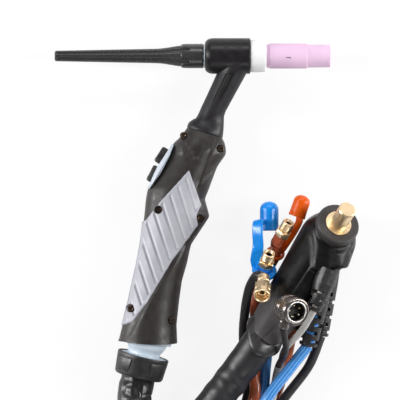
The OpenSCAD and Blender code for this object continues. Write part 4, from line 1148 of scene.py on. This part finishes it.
def relief(name, r0, r1, cable_r, count, hub, core_mat):
    """A strain relief: a tapered sleeve with slots through to the hose, in turn across and upright."""
    a, b = np.array(TAILS[name][0], float), np.array(TAILS[name][1], float)
    length = float(np.linalg.norm(b - a))
    m = along(a, unit(b - a))
    step = (length - hub) / count
    core = turned([(0, 0), (cable_r + 0.1, 0), (cable_r + 0.1, length - 0.6), (0, length - 0.5)], m, 32)

    def slots(r, z, angle):
        i, phase = divmod((z - hub) / step, 1.0)
        if r < cable_r + 1.2 or z < hub or z > length - 1.5:
            return r
        window = smooth((cos(2 * angle - 0.7 + pi * (i % 2)) + 0.5) / 0.16)
        cut_in = smooth((phase - 0.14) / 0.1) * smooth((0.6 - phase) / 0.1)
        return r - (r - cable_r + 0.5) * cut_in * window

    root = 8  # how far the sleeve reaches into the boot
    n = int((length + root) / 0.3)
    profile = []
    for k in range(n + 1):
        z = -root + (length + root) * k / n
        r = r0 + (r1 - r0) * max(0, z - 0.4 * hub) / (length - 0.4 * hub)
        end = max(0, z - length + 1.2)
        profile.append((r - (1.2 - sqrt(max(0, 1.44 - end * end))), z))
    profile += [(cable_r + 0.8, length - 0.2), (cable_r + 0.7, length - 2.2), (cable_r - 0.3, length - 2.4),
                (cable_r - 0.3, -root)]
    mesh, kinds = join((core, 1), turned(profile, m, 72, slots))
    piece(f"{name}_strain_relief", mesh, "cable_side", [RIB, core_mat], f"{name}_relief",
          kinds, sharp=35)


# -------- fittings and caps
def hex_part(m, corner, z0, z1, bore=0.0):
    """A hex nut: flats between corners, its two ends chamfered round."""
    flat, chamfer, n = corner * cos(pi / 6), 0.7, 96
    rows = []
    for z, limit in ((z0, flat * 0.96), (z0 + 0.02, flat * 0.98), (z0 + chamfer, corner),
                     (z1 - chamfer, corner), (z1 - 0.02, flat * 0.98), (z1, flat * 0.96)):
        reach = [min(flat / cos(a % (pi / 3) - pi / 6), limit) for a in circle(n)]
        rows.append([polar(m, r, a, z) for r, a in zip(reach, circle(n))])
    if bore:
        inside = [[polar(m, bore, a, z) for a in circle(n)] for z in (z0, z1)]
        return grid([inside[0]] + rows + [inside[1], inside[0]], caps=False)
    return grid(rows)


def water_fitting(name, mouth, d, crimp):
    """A threaded brass nipple with a chamfered mouth, a hex, and a ribbed crimp over the hose's end."""
    m = along(mouth, -d)
    nipple = [(1.9, 9), (1.9, 1.9, 0.1), (2.7, 0.5, 0.2), (3.1, 0, 0.15), (4.2, 0, 0.4), (4.6, 0.7, 0.2)]
    for z in (1.5, 2.8, 4.1, 5.4):
        nipple += [(4.6, z, 0.1), (4.3, z + 0.35, 0.1), (4.6, z + 0.7, 0.1)]
    nipple += [(4.6, 7.0, 0.1), (4.1, 7.3, 0.1), (4.1, 9)]
    # a black lining and floor inside the nipple's bore: painted shade for the depth of the hole
    bore = turned([(1.75, 1.3), (1.95, 1.3), (1.95, 8), (0, 8), (0, 7.6), (1.75, 7.6)], m, 32)
    ferrule = [(0, 12.9), (4.9, 12.9, 0.2), (4.9, 13.3, 0), (4.9, 14, 0), (4.9, 21, 0), (4.9, 21.6, 0.4),
               (4.35, 22, 0.1), (0, 22)]

    def ribs(r, z, a):
        return r - (0.34 * max(0, cos(12 * a)) if r > 4.8 and 13.2 < z < 21.6 else 0)

    mesh, kinds = join(turning(nipple, m, 72), (bore, 2), hex_part(m, 6.25, 8, 13),
                       (turning(ferrule, m, shape=ribs), 1))
    piece(f"{name}_water_fitting", mesh, "cable_side", [BRASS, crimp, INSERT_AND_BORE_SHADE], f"{name}_fitting",
          kinds, sharp=34)


def gas_end():
    m = along(GAS_MOUTH, -GAS_DIR)
    stem = [(1.7, 4.05), (3.0, 4.05, 0.4), (3.95, 5.5, 0.4), (3.95, 12.6, 0.2), (4.6, 12.7, 0.3),
            (4.6, 14.2, 0.2), (4.1, 14.5, 0.1), (4.1, 16, 0.1), (4.6, 16.3, 0.3), (4.6, 21.6, 0.3),
            (1.7, 21.6)]
    collar_ring = [(4.0, 7.0, 0), (4.8, 7.0, 0), (4.8, 0.5, 0.1), (5.3, 0, 0.1), (6.1, 0, 0.3),
                   (6.3, 0.6, 0.2), (6.3, 4.1, 0.1), (4.0, 4.1, 0)]
    piece("gas_spigot", turning(stem, m, 72), "cable_side", BRASS, "gas_fitting", sharp=34)
    nut, _ = join(turning(collar_ring, m, 72), hex_part(m, 6.8, 4, 12, bore=4.02))
    piece("gas_union_nut", nut, "gas_nut", BRASS, "gas_nut", sharp=34)


def flat_band(points, width, thick, normal_from):
    """A soft flat strap along a path, its flat side turned away from normal_from."""
    path = spline(points, 0.8)
    rows = []
    for p, d in zip(path, tangents(path)):
        out = p - np.array(normal_from(p))
        out = unit(out - (out @ d) * d)
        side = np.cross(d, out)
        row = []
        for a in circle(20):
            c, s = cos(a), sin(a)
            row.append(p + side * width / 2 * copysign(abs(c) ** 0.45, c)
                       + out * thick / 2 * copysign(abs(s) ** 0.6, s))
        rows.append(row)
    return grid(rows)


def cap_shell(base, d, r, length, dome):
    """A dipped vinyl cap: thin open wall, rolled lip and domed end."""
    wall, flare, top = 1.25, 0.25, length - dome
    outer = [(r - wall, 0.25, 0.1), (r - wall * 0.5, 0, 0.3), (r + flare, 0.3, 0.4),
             (r + flare * 0.6, 1.5, 0.4), (r, 3, 0.5), (r, top, 0.5)]
    outer += [((r - 0.15) * cos(a), top + dome * sin(a), 0) for a in circle(32)[1:8]]
    inner = [(0, length, 0), (0, top + dome * 0.4, 0), ((r - wall) * 0.8, top + dome * 0.3, 0.8),
             (r - wall, top - 1, 0.8)]
    return turning(outer + inner, along(base, d), 72, r=0.2)


def hoop(p, d, inner, outer, thick):
    profile = [(inner, 0, 0.4), (outer, 0, 0.8), (outer, thick, 0.8), (inner, thick, 0.4)]
    return turning(profile, along(p, -d), 72, r=0.3)


def dust_caps():
    base, ring = np.array([57.6, -14.4, 18]), BLUE_MOUTH - 17 * BLUE_DIR
    side = unit(np.cross(BLUE_DIR, [0, 0, 1]))
    strap = [base + [-3.5, 1.5, 6.2], base + [-6.0, 4.0, 7.0], (49.6, -6.6, 27.2), (48.9, -9.0, 30.2),
             (48.6, -16, 31.2),
             (49.0, -26, 30.2), ring - 7.4 * side - BLUE_DIR + [0.6, 4, 1.5], ring - 6.2 * side - BLUE_DIR]
    mesh, _ = join(cap_shell(base, (0, 1, 0), 7.0, 22, 5.5), hoop(ring, BLUE_DIR, 5.1, 9.3, 3.4),
                   flat_band(strap, 8.6, 1.6, lambda p: (53, -13, 22)))
    piece("blue_dust_cap", mesh, "cable_side", BLUE_CAP, "blue_cap", sharp=60)
    base, ring = np.array([78, -4, 22]), np.array([62.2, -30.5, 17.2])
    strap = [base + [2.2, 3.5, 1], base + [2.2, -2.5, 0.5], (77.6, -12.5, 19.5), (72.5, -21, 17),
             (67.8, -28.5, 15),
             ring + [6.2, 0.5, -0.5]]
    mesh, _ = join(cap_shell(base, unit([0.33, 0.94, 0]), 6.3, 17, 4.6),
                   hoop(ring, unit([0.08, 0.72, 0.69]), 5.0, 7.2, 2.6),
                   flat_band(strap, 5.6, 1.6, lambda p: p - np.array([-3.0, 1.5, 9.0])))
    piece("orange_dust_cap", mesh, "cable_side", ORANGE_CAP, "orange_cap", sharp=60)


# -------- control plug
def control_plug():
    m = along(CONTROL_FACE, -CONTROL_DIR)
    body = [(7.5, 1.0, 0.2), (8.7, 1.0, 0.3), (8.7, 12.3, 0.1), (10.2, 12.4, 0.5), (10.2, 15, 0.6), (7.5, 15),
            (7.5, 9.5)]
    lip = [(6.9, 1.2), (6.9, -0.2, 0.3), (7.1, -0.8, 0.25), (7.9, -0.8, 0.25), (8.1, -0.2, 0.2), (8.1, 1.2)]
    ring = [(8.78, 0.6, 0.1), (8.3, 0.4, 0.1), (8.3, -0.6, 0.3), (9.9, -0.6, 0.9), (10.7, 0.9, 0.4),
            (10.7, 2.4, 0.3), (10.35, 2.8, 0.15), (10.6, 3.2, 0.15),
            *((10.6, z, 0) for z in np.arange(3.4, 9.0, 0.6)), (10.6, 9.1, 0.15), (10.35, 9.5, 0.15),
            (10.7, 9.9, 0.3), (10.6, 11, 0.4), (8.8, 11, 0.2)]

    def key(r, z, a):
        from_key = abs((a - 2.4 + pi) % TAU - pi)
        return r + (0.9 if abs(r - 7.5) < 0.02 and z < 9.4 and from_key < 0.14 else 0)

    def knurl(r, z, a):
        return r - (0.3 * (0.5 + 0.5 * cos(36 * a)) if r > 10.2 and 3.0 < z < 9.2 else 0)

    lathe("control_shell", body, m, "cable_side", SHELL, "control_body", shape=key, segs=144)
    lathe("control_bright_lip", lip, m, "cable_side", BRIGHT, r=0.15)
    lathe("control_union_ring", ring, m, "control_ring", SHELL, "control_ring", shape=knurl,
          segs=216)
    parts = [turning([(0, 7.0), (7.2, 7.0, 0.3), (7.4, 9.3, 0.2), (0, 9.3)], m, 64, r=0.2)]
    for k in range(5):
        a = radians(72 * k + 20)
        at = m @ Matrix.Translation((4.4 * cos(a), 4.4 * sin(a), 0))
        pin = [(0, 2.4), (0.5, 2.4, 0.2), (0.75, 2.9, 0.2), (0.75, 7.2), (0, 7.2)]
        parts.append((turning(pin, at, 20), 1))
        parts.append(turning([(0.85, 6.6), (1.35, 6.6, 0.15), (1.35, 7.2), (0.85, 7.2)], at, 24))
    mesh, kinds = join(*parts)
    piece("control_pins", mesh, "cable_side", [INSERT_AND_BORE_SHADE, PINS], "control_insert", kinds,
          sharp=34)
    back = [(0, 15), (8.7, 15, 0.3), (8.7, 19.5, 2.2), (7.2, 22.6, 1.5), (0, 23)]
    arm = [(0, 0), (4.4, 4, 0.6), (4.4, 8.2, 0.5), (3.75, 8.4, 0.2), (3.75, 10.4, 0.3), (4.1, 10.8, 0.3),
           (4.1, 16.2, 0.7), (3.2, 17, 0.4), (0, 17)]
    mesh, _ = join(turning(back, m, 72, r=0.3), turning(arm, along(BACKSHELL_AT, BACKSHELL_DIR), 64, r=0.2))
    piece("control_backshell_body", mesh, "cable_side", SHELL, "control_backshell", sharp=34)


# -------- floor and light
def studio():
    """A pale floor that keeps the shadow, a white world and four soft lamps."""
    me = bpy.data.meshes.new("floor")
    me.from_pydata([(-4, -4, 0), (4, -4, 0), (4, 4, 0), (-4, 4, 0)], [], [(0, 1, 2, 3)])
    floor = bpy.data.objects.new("floor", me)
    scene.collection.objects.link(floor)
    m = bpy.data.materials.new("floor_white")
    m.use_nodes = True
    surface(m, "Base Color")[0].default_value = (0.9, 0.9, 0.9, 1)
    surface(m, "Roughness")[0].default_value = 0.7
    ray = node(m, "LightPath", {})
    seen = node(m, "Math", {0: ray["Is Camera Ray"], 1: ray["Is Transmission Ray"]}, operation="MAXIMUM")[0]
    share = node(m, "Math", {0: seen, 1: 0.86}, operation="MULTIPLY")[0]
    lit = m.node_tree.nodes["Principled BSDF"].outputs["BSDF"]
    blend = node(m, "MixShader", {"Fac": share, 1: lit, 2: node(m, "Emission", {})["Emission"]})["Shader"]
    m.node_tree.links.new(blend, m.node_tree.nodes["Material Output"].inputs["Surface"])
    me.materials.append(m)

    world = bpy.data.worlds.new("studio")
    scene.world = world
    world.use_nodes = True
    back = world.node_tree.nodes["Background"]
    strength = ramp(world, node(world, "LightPath", {})["Is Camera Ray"], 0, 1, 0.16, 1.0)
    world.node_tree.links.new(strength, back.inputs["Strength"])
    back.inputs["Color"].default_value = (1, 1, 1, 1)

    for name, place, size, power in (
            ("left_box", (-1.6, 0.3, 0.75), (0.4, 1.8), 38), ("right_box", (1.6, 0.1, 0.65), (0.35, 1.8), 36),
            ("top_box", (0.1, 1.5, 1.0), (1.6, 0.4), 14), ("low_box", (0, -1.6, 1.1), (1.4, 0.4), 7)):
        data = bpy.data.lights.new(name, "AREA")
        data.shape = "RECTANGLE"
        data.size, data.size_y = size
        data.energy = power
        ob = bpy.data.objects.new(name, data)
        ob.location = place
        ob.rotation_euler = (-Vector(place)).to_track_quat("-Z", "Y").to_euler()
        scene.collection.objects.link(ob)


back_cap()
torch_head()
neck()
shell(1, "handle_top", "handle_shell_upper")
shell(-1, "handle_base", "handle_shell_lower")
grip(1, "grip_top", "grip_insert_upper")
grip(-1, "grip_base", "grip_insert_lower")
screws()
bezel()
buttons()
dress("switch_board", BOARD, 0.1)
swivel()
collar()
inner_hoses()
boots()
relief("control", 8.2, 4.9, 2.6, 3, 9, GREY)
relief("blue", 8.4, 6.8, 4.4, 4, 10, BLUE_HOSE)
relief("gas", 7, 5.4, 3.6, 6, 8, GAS_HOSE)
relief("red", 6.6, 6.0, 4.4, 3, 4, RED_HOSE)
water_fitting("blue", BLUE_MOUTH, BLUE_DIR, BLUE_CRIMP)
water_fitting("red", RED_MOUTH, RED_DIR, RED_CRIMP)
gas_end()
dust_caps()
control_plug()
studio()

scene.view_settings.view_transform = "Standard"
